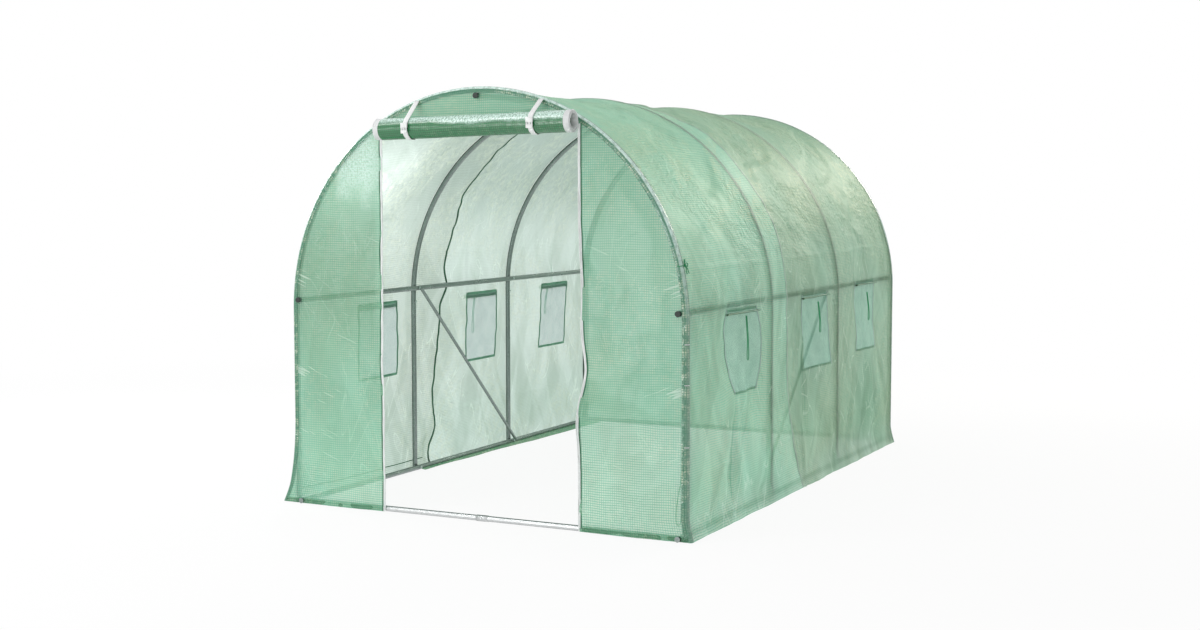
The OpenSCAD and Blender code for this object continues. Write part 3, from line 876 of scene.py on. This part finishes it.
NODE_LOOKS = dict.fromkeys(
    [hoop + part for hoop in HOOP_NAMES for part in ("_legs", "_arch")]
    + ["ridge_rail", "side_rails", "base_rails", "back_base_rail", "side_braces"], galvanised)
NODE_LOOKS.update(front_base_rail=rail_zinc, rail_end_plugs=plug_plastic)
for node_name, material in NODE_LOOKS.items():
    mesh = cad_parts[node_name].data
    mesh.materials.clear()
    mesh.materials.append(material)

# ---------------------------------------------------------------- the cover

TURN_R = 0.0143  # radius of the cloth where it turns round an end hoop
TURN_LONG = 0.022  # what that turn adds to the cut
GROUND = 0.001  # how far off the ground the end cloths start


def grid_piece(name, points, flat, material, replaces=()):
    """A piece made of one grid of points."""
    return mesh_piece(name, points, quads(points), material, replaces, flat)


def cover_piece(name, low_y, high_y, end, material, replaces):
    """One length of the cover, from foot to foot: end is -1 for the front length."""
    stops = [centre + off for centre in WINDOWS if low_y < centre < high_y
             for off in (-WINDOW_W / 2, WINDOW_W / 2)]
    ys = steps(low_y, *stops, high_y)
    s_stops = [0, SKIRT, WINDOW_LOW, WINDOW_HIGH]
    ss = steps(*s_stops, *[GIRTH - s for s in reversed(s_stops)])[:, None]
    turns = np.radians([22.5, 45, 67.5, 90])
    turn_y = (low_y if end < 0 else high_y) + end * turns * TURN_R
    parts = [(place(ss, ys)[0], stacked(ss, ys)), (wrap(ss, turns, end), stacked(ss, turn_y))]
    if end < 0:
        parts = [[grid[:, ::-1] for grid in parts[1]], parts[0]]
    points, flat = [np.concatenate(grids, 1) for grids in zip(*parts)]
    mid = (flat[1:, 1:] + flat[:-1, :-1]) / 2
    up = height_up(mid[..., 0])
    hole = np.zeros(up.shape, bool)
    for centre in WINDOWS:
        hole |= (np.abs(mid[..., 1] - centre) < WINDOW_W / 2) & (
            (up > WINDOW_LOW) & (up < WINDOW_HIGH))
    piece = mesh_piece(name, points, grid_faces(*points.shape[:2])[~hole], material,
                       replaces, flat)
    length = high_y - low_y + TURN_LONG


cover_piece("front_cover", FRONT, SEAM, -1, front_cloth,
            ("front_roof_cover", "front_wall_covers", "front_skirts"))
cover_piece("rear_cover", SEAM, BACK, 1, rear_cloth,
            ("rear_roof_cover", "rear_wall_covers", "rear_skirts"))

# ---------------------------------------------------------------- the end panels


def arch_edge(z):
    """Half the width of an end cloth at the height z."""
    return np.where(z > LEG, np.sqrt(np.maximum(0, HOOP_LINE**2 - (z - LEG) ** 2)), HOOP_LINE)


panel_w, panel_h = HOOP_LINE - DOOR_EDGE, LEG + math.sqrt(HOOP_LINE**2 - DOOR_EDGE**2)
panel_z = steps(GROUND, LEG, panel_h)[:, None]
panel_across = (arch_edge(panel_z) - DOOR_EDGE) * np.linspace(0, 1, 46)
for side, side_name in SIDES:
    panel_x = side * (DOOR_EDGE + panel_across)
    piece = grid_piece(side_name + "_panel", panel_place(panel_x, panel_z),
                       stacked(panel_z, panel_x), panel_cloth,
                       (f"front_{side_name}_panel",))

top_low = float(box("front_top_panel")[0][2])
top_x = steps(-DOOR_EDGE, 0, DOOR_EDGE)
top_high = LEG + np.sqrt(HOOP_LINE**2 - top_x**2)
top_z = top_low + (top_high - top_low) * np.linspace(0, 1, 14)[:, None]
top_panel = grid_piece("top_panel", panel_place(top_x, top_z), stacked(top_z, top_x),
                       panel_cloth, ("front_top_panel",))

back_turn = np.linspace(0, np.pi / 2 - 0.01, 100)[1:]
back_z = np.concatenate([steps(GROUND, LEG), LEG + HOOP_LINE * np.sin(back_turn)])[:, None]
back_x = arch_edge(back_z) * np.linspace(-1, 1, 151)
back_end = grid_piece("back_end", back_place(back_x, back_z), stacked(back_z, back_x),
                      rear_cloth, ("back_panel",))

# ---------------------------------------------------------------- windows

NET_STEP = 0.009
SIDE_LOOKS = {-1: (left_net, binding_cloth, flap_cloth),
              1: (right_net, pale_binding, pale_flap_cloth)}


def window_path(side, centre, grow):
    """Flat points round a window, grow outside its net."""
    half, low, high = WINDOW_W / 2 + grow, WINDOW_LOW - grow, WINDOW_HIGH + grow
    rise, run = steps(low, high), steps(-half, half)
    up = np.concatenate([rise, np.full(len(run), high), rise[::-1], np.full(len(run), low)])
    off = np.concatenate([np.full(len(rise), -half), run, np.full(len(rise), half), run[::-1]])
    keep = np.append(True, np.hypot(np.diff(up), np.diff(off)) > 1e-6)
    return side_s(side, up[keep][:-1]), centre + off[keep][:-1]


for side, side_name in SIDES:
    nets, bindings, edges = [], [], []
    for centre in WINDOWS:
        ss = side_s(side, steps(WINDOW_LOW, WINDOW_HIGH, spacing=NET_STEP))[:, None]
        ys = steps(centre - WINDOW_W / 2, centre + WINDOW_W / 2, spacing=NET_STEP)
        points, _ = place(ss, ys)
        nets.append((points, quads(points), stacked(ss, ys)))
        # the sewn binding, inside the cloth, with a narrow selvage outside
        points, outward = place(*window_path(side, centre, 0.004))
        bindings.append(ribbon(points, -outward, 0.013, 0.0016, closed=True))
        upright = side_s(side, steps(WINDOW_LOW - 0.01, WINDOW_HIGH + 0.008))
        for edge in (-1, 1):
            points, outward = place(upright, centre + edge * (WINDOW_W / 2 + 0.002))
            edges.append(ribbon(points, outward, 0.006, 0.0016))
    net, sewn, _ = SIDE_LOOKS[side]
    piece = joined_piece(side_name + "_nets", nets, net,
                         (side_name + "_window_nets",))
    replaces = (side_name + "_window_bindings",)
    joined_piece(side_name + "_bindings", bindings, sewn, replaces)
    joined_piece(side_name + "_selvages", edges, selvage, replaces)


def spiral(inner, outer, length, segments):
    """Angles, radii and wound length of a sheet wound from inner to outer radius."""
    turns = length / (math.pi * (inner + outer))
    angles = np.linspace(-turns * 2 * math.pi, 0, int(turns * segments) + 1)
    radii = outer + (outer - inner) * angles / (turns * 2 * math.pi)
    return angles[:, None], radii[:, None], (angles - angles[0]) * (radii + radii[0]) / 2


flap_low, flap_high = box("right_window_flaps")
FLAP_X = float(flap_low[0] + flap_high[0]) / 2
FLAP_R = float(flap_high[2] - flap_low[2]) / 2
FLAP_W = WINDOW_W + 0.016
FLAP_LONG = 0.38
# How far each roll hangs under the top of its own window, and how it is flattened
FLAP_DROP = {-1: 0.013, 1: 0.010}
FLAP_TALL = {-1: 1.35, 1: 0.5}
FLAP_DEEP = 0.85
for side, side_name in SIDES:
    oval = math.sqrt((FLAP_DEEP**2 + FLAP_TALL[side] ** 2) / 2)
    angles, radii, wound = spiral(0.003, FLAP_R - 0.001, FLAP_LONG / oval, 22)
    xs = steps(-FLAP_W / 2, FLAP_W / 2, spacing=0.012)
    for k, centre in enumerate(WINDOWS):
        top, outward = place(side_s(side, WINDOW_HIGH - FLAP_DROP[side]), centre + xs)
        r = radii * (1 + 0.07 * noise(xs * 14, angles * 0.5, 70 + k))
        reach = r * np.cos(angles + math.pi) * FLAP_DEEP + FLAP_R
        points = top + reach[..., None] * outward
        points[..., 2] += r * np.sin(angles + math.pi) * FLAP_TALL[side]
        piece = grid_piece(f"{side_name}_flap_{k + 1}", points,
                           stacked((wound * oval)[:, None], xs), SIDE_LOOKS[side][2],
                           (side_name + "_window_flaps",))

# ---------------------------------------------------------------- seams and hems

FORWARD = np.array([0.0, -1.0, 0.0])
HEM_LIFT = 0.0012  # how far the hem stands off the cloth

seam_s = steps(0.004, GIRTH - 0.004)
seam_line, seam_out = place(seam_s, SEAM)
foot_line, foot_out = place(SKIRT, steps(FRONT + 0.02, SEAM - 0.08))
joined_piece("cover_seams", [ribbon(seam_line, -seam_out, 0.016, 0.0018),
                             ribbon(foot_line, -foot_out, 0.005, 0.0014)],
             seam_cloth)
joined_piece("outer_seam", [ribbon(seam_line, seam_out, 0.014, 0.0016)],
             pale_seam)


def end_hem(name, end, reach_back):
    """The doubled hem where the cover turns round an end hoop."""
    ss = steps(0.002, LEG, GIRTH - LEG, GIRTH - 0.002)
    rows = []
    for back in np.linspace(reach_back, 0, 4)[:-1]:
        points, outward = place(ss, (FRONT if end < 0 else BACK) - end * back)
        rows.append(points + outward * HEM_LIFT)
    for turn in np.radians([0, 18, 36, 54, 72, 90]):
        out = wrap(ss, turn, end)
        rows.append(out + unit(out - wrap(ss, turn + math.pi, end)) * HEM_LIFT)
    inner = wrap(ss, math.pi / 2, end)
    out_x, out_z, _ = over_hoops(ss, HOOP_LINE)
    for part in (0.006, 0.012):
        rows.append(inner - stacked(out_x, 0.0, out_z) * part - FORWARD * end * 0.0014)
    across = np.linspace(0, 0.045, len(rows))[:, None]
    grid_piece(name, np.array(rows), stacked(across, ss), hem_cloth)


end_hem("front_hem", -1, 0.008)
end_hem("back_hem", 1, 0.012)

# the hems at the foot of the front and back cloth
FOOT_Z, FOOT_HEM = 0.012, (0.022, 0.0016)
strips = [ribbon(panel_place(side * steps(DOOR_EDGE, HOOP_LINE), FOOT_Z), FORWARD, *FOOT_HEM)
          for side, _ in SIDES]
strips.append(ribbon(back_place(steps(-HOOP_LINE, HOOP_LINE), FOOT_Z), -FORWARD, *FOOT_HEM))
joined_piece("end_hems", strips, foot_cloth)

# the loose cloth inside the left base rail
hem_low, hem_high = box("inner_hem")
loose_y = steps(float(hem_low[1]), float(hem_high[1]), spacing=0.02)[:, None]
across = np.linspace(0, 1, 9)
loose_width = 0.030 + 0.052 * smooth(hem_low[1], hem_high[1], loose_y) + (
    0.008 * noise(loose_y * 4, 0.5, 91))
loose_z = 0.0012 + 0.004 * (1 - across) ** 2 + (
    0.007 * np.abs(noise(loose_y * 9, across * 2, 93)) * np.sin(np.pi * across))
points = stacked(hem_low[0] + loose_width * across, loose_y, loose_z)
loose = grid_piece("loose_hem", points, points[..., :2], loose_cloth,
                   ("inner_hem",))

# ---------------------------------------------------------------- the rolled-up door

roll_low, roll_high = box("door_roll")
ROLL_Y = float(roll_low[1] + roll_high[1]) / 2
ROLL_Z = float(roll_low[2] + roll_high[2]) / 2
ROLL_R = float(roll_high[2] - roll_low[2]) / 2
DOOR_LONG = 1.70
band_low, band_high = box("door_roll_edges")
ROLL_FROM, ROLL_TO = float(band_low[0]), float(band_high[0])
BAND = float(roll_low[0]) - ROLL_FROM


def roll_drop(x):
    """How far the roll hangs lower on its left."""
    return 0.022 * (ROLL_TO - x) / (ROLL_TO - ROLL_FROM)


def roll_place(x, shift, r, angles):
    """The places at radius r round the middle of the roll, shifted along it."""
    return stacked(x + shift, ROLL_Y + r * np.cos(angles),
                   ROLL_Z - roll_drop(x) + r * np.sin(angles))


def roll_part(xs):
    """The stretch of the wound door between two places along X."""
    angles, radii, wound = spiral(0.028, ROLL_R - 0.0006, DOOR_LONG, 36)
    r = radii + 0.0010 * noise(xs * 9, angles * 0.9, 81) + (
        0.0007 * (0.4 + crease(xs * 26, angles * 2.5, 83)))
    off_middle = (xs - (ROLL_FROM + ROLL_TO) / 2) / ((ROLL_TO - ROLL_FROM) / 2)
    points = roll_place(xs, 0.0025 * noise(angles * 0.8, 0.5, 85) * off_middle, r, angles)
    return points, quads(points), stacked(wound[:, None], xs)


def roll_end(x):
    """The edges of the wound tape, which close an end of the roll into a ring."""
    angles = np.linspace(0, 2 * math.pi, 73)[:, None]
    radii = np.linspace(0.032, ROLL_R - 0.0008, 12)
    points = roll_place(x, 0.0008 * np.sin(radii * 1800), radii, angles)
    return points, quads(points), stacked(angles * 0.04, radii)


door = joined_piece("rolled_door", [roll_part(steps(ROLL_FROM + BAND, ROLL_TO - BAND))],
                    door_cloth, ("door_roll",))
bands = joined_piece(
    "rolled_door_tapes",
    [roll_part(steps(ROLL_FROM, ROLL_FROM + BAND, spacing=0.006)),
     roll_part(steps(ROLL_TO - BAND, ROLL_TO, spacing=0.006)),
     roll_end(ROLL_FROM + 0.001), roll_end(ROLL_TO - 0.001)],
    white_tape, ("door_roll_edges",))
# the loose start of the cloth, bunched inside the roll
core_x = steps(ROLL_FROM + 0.014, ROLL_TO - 0.014, spacing=0.02)
core_turn = np.linspace(0, 2 * math.pi, 49)[:, None]
core_r = 0.0215 * (1 + 0.16 * np.sin(core_turn * 5 + 9 * core_x)
                   + 0.08 * noise(core_x * 8, core_turn * 1.2, 87))
core_r = core_r * np.clip(np.minimum(core_x - core_x[0], core_x[-1] - core_x) / 0.012, 0.05, 1)
grid_piece("rolled_door_core", roll_place(core_x, 0.0, core_r, core_turn),
           stacked(core_turn * 0.02, core_x), door_cloth)

# The straps come down from the front hem, tight in front of the roll, and go round it
buckle_low, buckle_high = box("door_buckles")
BUCKLE_W = 0.034
STRAP_XS = (float(buckle_low[0]) + BUCKLE_W / 2, float(buckle_high[0]) - BUCKLE_W / 2)
STRAP_W, STRAP_THICK = 0.025, 0.0018
STRAP_R = ROLL_R + 0.0022
# The blocks of a buckle: where each lies from its middle, its size and its rounding
BUCKLE_PARTS = (
    ((0, 0, 0.010), (BUCKLE_W, 0.008, 0.022), 0.0028),
    ((0, 0, -0.0165), (BUCKLE_W * 0.94, 0.007, 0.013), 0.0024),
    ((-0.0125, 0, -0.005), (0.0055, 0.006, 0.016), 0.0018),
    ((0.0125, 0, -0.005), (0.0055, 0.006, 0.016), 0.0018),
    ((0, 0.001, -0.005), (0.007, 0.004, 0.014), 0.0012),
    ((0, -0.001, -0.0235), (BUCKLE_W * 0.9, 0.005, 0.004), 0.0014))
straps, buckles = [], []
for x in STRAP_XS:
    centre = np.array([ROLL_Y, ROLL_Z - float(roll_drop(x))])
    top = np.array([PANEL_Y - 0.003, LEG + math.sqrt((HOOP_LINE + 0.006) ** 2 - x * x)])
    way = top - centre
    start = math.atan2(way[1], way[0]) + math.acos(STRAP_R / np.hypot(*way))
    angles = np.linspace(start, 2 * math.pi - 0.06, 40)
    arc_out = stacked(np.cos(angles), np.sin(angles))
    arc = centre + STRAP_R * arc_out
    line = top + (arc[0] - top) * np.linspace(0, 1, 9)[:-1, None]
    tail = arc[-1] + np.array([[0.0, 0.012], [0.0003, 0.03], [0.0006, 0.05]])
    out = np.vstack([np.tile(arc_out[0], (len(line), 1)), arc_out,
                     np.tile(arc_out[-1], (len(tail), 1))])
    straps.append(band(np.insert(np.vstack([line, arc, tail]), 0, x, axis=1),
                       np.insert(out, 0, 0.0, axis=1), (1, 0, 0), STRAP_W, STRAP_THICK))
    middle = np.array([x, centre[0] - STRAP_R - 0.0055, centre[1]])
    for at, size, edge in BUCKLE_PARTS:
        buckles.append(moulded(middle + at, size, edge))
joined_piece("straps", straps, webbing, ("door_straps",))
joined_piece("buckles", buckles, buckle_plastic, ("door_buckles",))

# zip tapes down both sides of the way in, each with its row of teeth and a green binding
ZIP_LOW, ZIP_HIGH = 0.003, ROLL_Z - 0.01
tape_z = steps(ZIP_LOW, ZIP_HIGH, spacing=0.01)
tooth_z = steps(ZIP_LOW, ZIP_HIGH, spacing=0.0028)
tapes, teeth, edges = [], [], []
for side, _ in SIDES:
    tapes.append(ribbon(panel_place(side * (DOOR_EDGE - 0.001), tape_z), FORWARD,
                        0.012, 0.0022))
    edges.append(ribbon(panel_place(side * (DOOR_EDGE + 0.0075), tape_z), FORWARD,
                        0.006, 0.0020))
    points = panel_place(side * (DOOR_EDGE - 0.005), tooth_z)
    points[:, 1] -= 0.0006 + 0.0009 * (np.arange(len(tooth_z)) % 2)
    teeth.append(ribbon(points, FORWARD, 0.0042, 0.0030))
joined_piece("zip_tapes", tapes, white_tape, ("door_zips",))
joined_piece("zip_teeth", teeth, buckle_plastic, ("door_zips",))
joined_piece("zip_bindings", edges, seam_cloth)

# ---------------------------------------------------------------- joints of the frame

# Profiles of turned parts, each as (radius, distance along the axis)
WASHER = ((0.0001, 0.0), (0.0085, 0.0), (0.0088, 0.0006), (0.0085, 0.0014), (0.0058, 0.0016))
HEAD = ((0.0062, 0.0012), (0.0064, 0.0020), (0.0064, 0.0048), (0.0056, 0.0060),
        (0.0001, 0.0063))
SLEEVE = ((TUBE_R + 0.0001, 0.0), (TUBE_R + 0.0016, 0.0006), (TUBE_R + 0.0016, 0.0594),
          (TUBE_R + 0.0001, 0.06))


def bolt(at, axis, turn=0.0):
    return [lathe(WASHER, at, axis, 20), lathe(HEAD, at, axis, 6, turn=turn)]


rail_x = float(box("side_rails")[1][0]) - 2 * TUBE_R
base_x = float(box("base_rails")[1][0]) - 2 * TUBE_R
ridge_z = float(sum(box("ridge_rail"))[2] / 2)
joints = []
for y in HOOPS:
    for side, _ in SIDES:
        for x, z in ((rail_x, RAIL_Z), (base_x, TUBE_R), (HOOP_LINE - TUBE_R, LEG - 0.03)):
            joints += bolt((side * x, y, z), (-side, 0, 0), turn=0.3)
    joints += bolt((0, y, ridge_z - TUBE_R), (0, 0, -1))
bolts = joined_piece("joint_bolts", joints, bright_zinc)
bolts.data.polygons.foreach_set("use_smooth", np.zeros(len(bolts.data.polygons), bool))

# a sleeve with a bolt where the two halves of the front base rail meet
joined_piece("front_rail_sleeve",
             [lathe(SLEEVE, (-0.02, FRONT, TUBE_R), (1, 0, 0), 32),
              lathe(HEAD, (0.01, FRONT - TUBE_R - 0.0005, TUBE_R), (0, -1, 0), 6)],
             rail_zinc)

# ---------------------------------------------------------------- ties

TIE_D = 0.004
# The loops of the ties, in mm: inwards, along the tunnel and up from each top
LONG_LOOP = ((0, -4, 0), (2, 0, -50), (4, 6, -110), (4, 4, -160), (4, 4, -190),
             (4, 7, -197), (4, 14, -200), (4, 21, -197), (4, 24, -190), (4, 22, -150),
             (3, 16, -80), (0, 6, 0))
SHORT_LOOP = ((0, -4, 0), (2, 4, -40), (4, 14, -80), (4, 16, -115), (4, 16, -145),
              (4, 19, -152), (4, 26, -155), (4, 33, -152), (4, 36, -145), (4, 34, -110),
              (3, 22, -60), (0, 6, 0))
CORNER = ((0, 300), (-6, 250), (-18, 190), (-26, 130), (-27, 90), (-24, 74), (-16, 68),
          (-8, 74), (-4, 90), (0, 160))
# Each window's tie: its name, its loop, and where and which way the loop hangs
WINDOW_TIES = (
    ("left_tie_1", LONG_LOOP, 0, 1), ("left_tie_2", LONG_LOOP, 0, -1),
    ("left_tie_3", SHORT_LOOP, 0, -1), ("right_tie_1", LONG_LOOP, -0.030, 1),
    ("right_tie_2", SHORT_LOOP, -0.050, 1), ("right_tie_3", SHORT_LOOP, -0.085, 1))


def cord_piece(name, route, replaces):
    line = through_points(route, 3)
    points, faces, uv = tube(line, TIE_D / 2)
    piece = mesh_piece(name, points, faces, tie_material, (replaces,), uv)


for name, loop, offset, lean in WINDOW_TIES:
    side = -1 if name.startswith("left") else 1
    y = WINDOWS[int(name[-1]) - 1] + offset
    tie_top = float(box(name)[1][2]) - 0.0002
    route = [(side * (FLAP_X + a / 1000), y + lean * b / 1000, tie_top + c / 1000)
             for a, b, c in loop]
    cord_piece(name + "_cord", route, name)

corner_x = float(box("corner_tie")[1][0]) - TIE_D / 2
cord_piece("corner_tie_cord", [(corner_x + a / 1000, FRONT, c / 1000) for a, c in CORNER],
           "corner_tie")


def round_hoop(s, turns, grow, radius):
    """A thread round the front hoop's cloth, grow times as far from the hoop's middle."""
    middle = (wrap(s, 0.0, -1) + wrap(s, math.pi, -1)) / 2
    return tube([middle + (wrap(s, turn, -1) - middle) * grow for turn in turns], radius, 6)


# a bow outside the front hoop, on the right, and a tie round the hoop at the bow
BOW = (((0, 0), (0.014, 0.010), (0.026, 0.006), (0.022, -0.006), (0.008, -0.004), (0, 0)),
       ((0, 0), (-0.008, 0.014), (0.002, 0.026), (0.010, 0.016), (0.003, 0.004), (0, 0)),
       ((0, 0), (0.012, -0.012), (0.016, -0.026), (0.026, -0.034)),
       ((0, 0), (0.002, -0.014), (-0.002, -0.024), (0.004, -0.036)))
BOW_Z = 1.156
bow_turn = math.asin((BOW_Z - LEG) / CLOTH)
bow_s = GIRTH - LEG - bow_turn * CLOTH
anchor, bow_out = place(bow_s, FRONT + 0.018)
up_way = np.array([-math.sin(bow_turn), 0, math.cos(bow_turn)])


def on_cloth(a, b, lift):
    """A place near the bow: along the tunnel, up the cloth, and off it."""
    return anchor - FORWARD * a + up_way * b + bow_out * lift


trims = []
for loop in BOW:
    line = [on_cloth(a, b, 0.0035 + 0.004 * math.sin(k)) for k, (a, b) in enumerate(loop)]
    trims.append(tube(through_points(line, 4), 0.0019, 6))
trims.append(tube([on_cloth(-0.005, 0.002, 0.006), on_cloth(0, 0, 0.0085),
                   on_cloth(0.005, -0.002, 0.006)], 0.004))
trims.append(round_hoop(bow_s, np.linspace(-0.6, 1.9, 14), 1.16, 0.0018))
joined_piece("bow_tie", trims, tie_material)

# lacing round the back left leg
LACE_TURNS = 9
turned = np.linspace(0, LACE_TURNS * 2 * math.pi, LACE_TURNS * 14)
lace = stacked(-HOOP_LINE + (TUBE_R + 0.002) * np.cos(turned),
               BACK + (TUBE_R + 0.002) * np.sin(turned), 0.03 + 0.19 * turned / turned[-1])
joined_piece("corner_lacing", [tube(lace, 0.0018, 6)], tie_material)
# thread ends that hold the hem round the front right leg
joined_piece("hem_threads", [round_hoop(GIRTH - z, np.linspace(0.1, 1.5, 8), 1.17, 0.0016)
                             for z in (0.40, 0.66, 0.83)], white_tape)

# ---------------------------------------------------------------- the stage

FLOOR, FLOOR_Z = 60.0, -0.001


def seen_rays(sh):
    """1 for the camera's rays, and for what glossy and clear surfaces pass on."""
    rays = sh.node("LightPath").outputs
    return sh.larger(rays["Is Camera Ray"], sh.larger(
        rays["Is Glossy Ray"], rays["Is Transmission Ray"]))


floor_mesh = bpy.data.meshes.new("floor")
floor_mesh.from_pydata([(x * FLOOR, y * FLOOR, FLOOR_Z) for x, y in (
    (-1, -1), (1, -1), (1, 1), (-1, 1))], [], [(0, 1, 2, 3)])
floor = bpy.data.objects.new("floor", floor_mesh)
bpy.context.scene.collection.objects.link(floor)
sh = Shader("floor")
away = sh.vector("LENGTH", sh.node("TexCoord").outputs["Object"])
paper = sh.surface("BsdfPrincipled", Base_Color=colour(0.92, 0.92, 0.92), Roughness=0.9,
                   Specular_IOR_Level=0.0)
share = seen_rays(sh) * sh.ramp(away, 3.0, 7.0, 0.9, 1.0)
floor_mesh.materials.append(
    sh.end(sh.blend(share, paper, sh.surface("Emission", Strength=1.0))))

world = bpy.data.worlds.new("studio")
bpy.context.scene.world = world
sh = Shader("studio", owner=world)
soft, white = [sh.surface("Background", Color=colour(1, 1, 1), Strength=strength)
               for strength in (0.68, 1.0)]
sh.node("OutputWorld", {"Surface": sh.blend(seen_rays(sh), soft, white)})


def area_light(name, at, aim, size, watts, tint=(1, 1, 1), seen=True):
    data = bpy.data.lights.new(name, "AREA")
    data.shape = "RECTANGLE"
    data.size, data.size_y = size
    data.energy = watts
    data.color = tint
    obj = bpy.data.objects.new(name, data)
    obj.location = at
    obj.rotation_euler = (Vector(aim) - Vector(at)).to_track_quat("-Z", "Y").to_euler()
    obj.visible_camera = seen
    bpy.context.scene.collection.objects.link(obj)


area_light("left", (-5.0, -0.6, 2.8), (-1.0, 0.0, 1.1), (1.6, 1.6), 88)
area_light("top", (-2.05, -3.66, 4.45), (-2.05, -1.6, 1.75), (2.6, 0.5), 42)
area_light("behind", (2.0, 5.8, 3.6), (0.9, 0.2, 1.3), (2.4, 1.6), 110, (1.0, 0.96, 0.84),
           seen=False)
area_light("front", (-1.4, -6.0, 0.95), (0.75, -1.5, 0.8), (1.0, 1.8), 36)
area_light("sheen", (-3.3, -5.5, 1.75), (-0.65, -1.5, 1.65), (0.4, 0.4), 10)
area_light("glow", (-1.12, -1.15, 1.80), (-0.80, -1.08, 1.55), (0.1, 0.1), 5.5,
           (1.0, 0.86, 0.94), seen=False)

bpy.context.scene.view_settings.view_transform = "Standard"
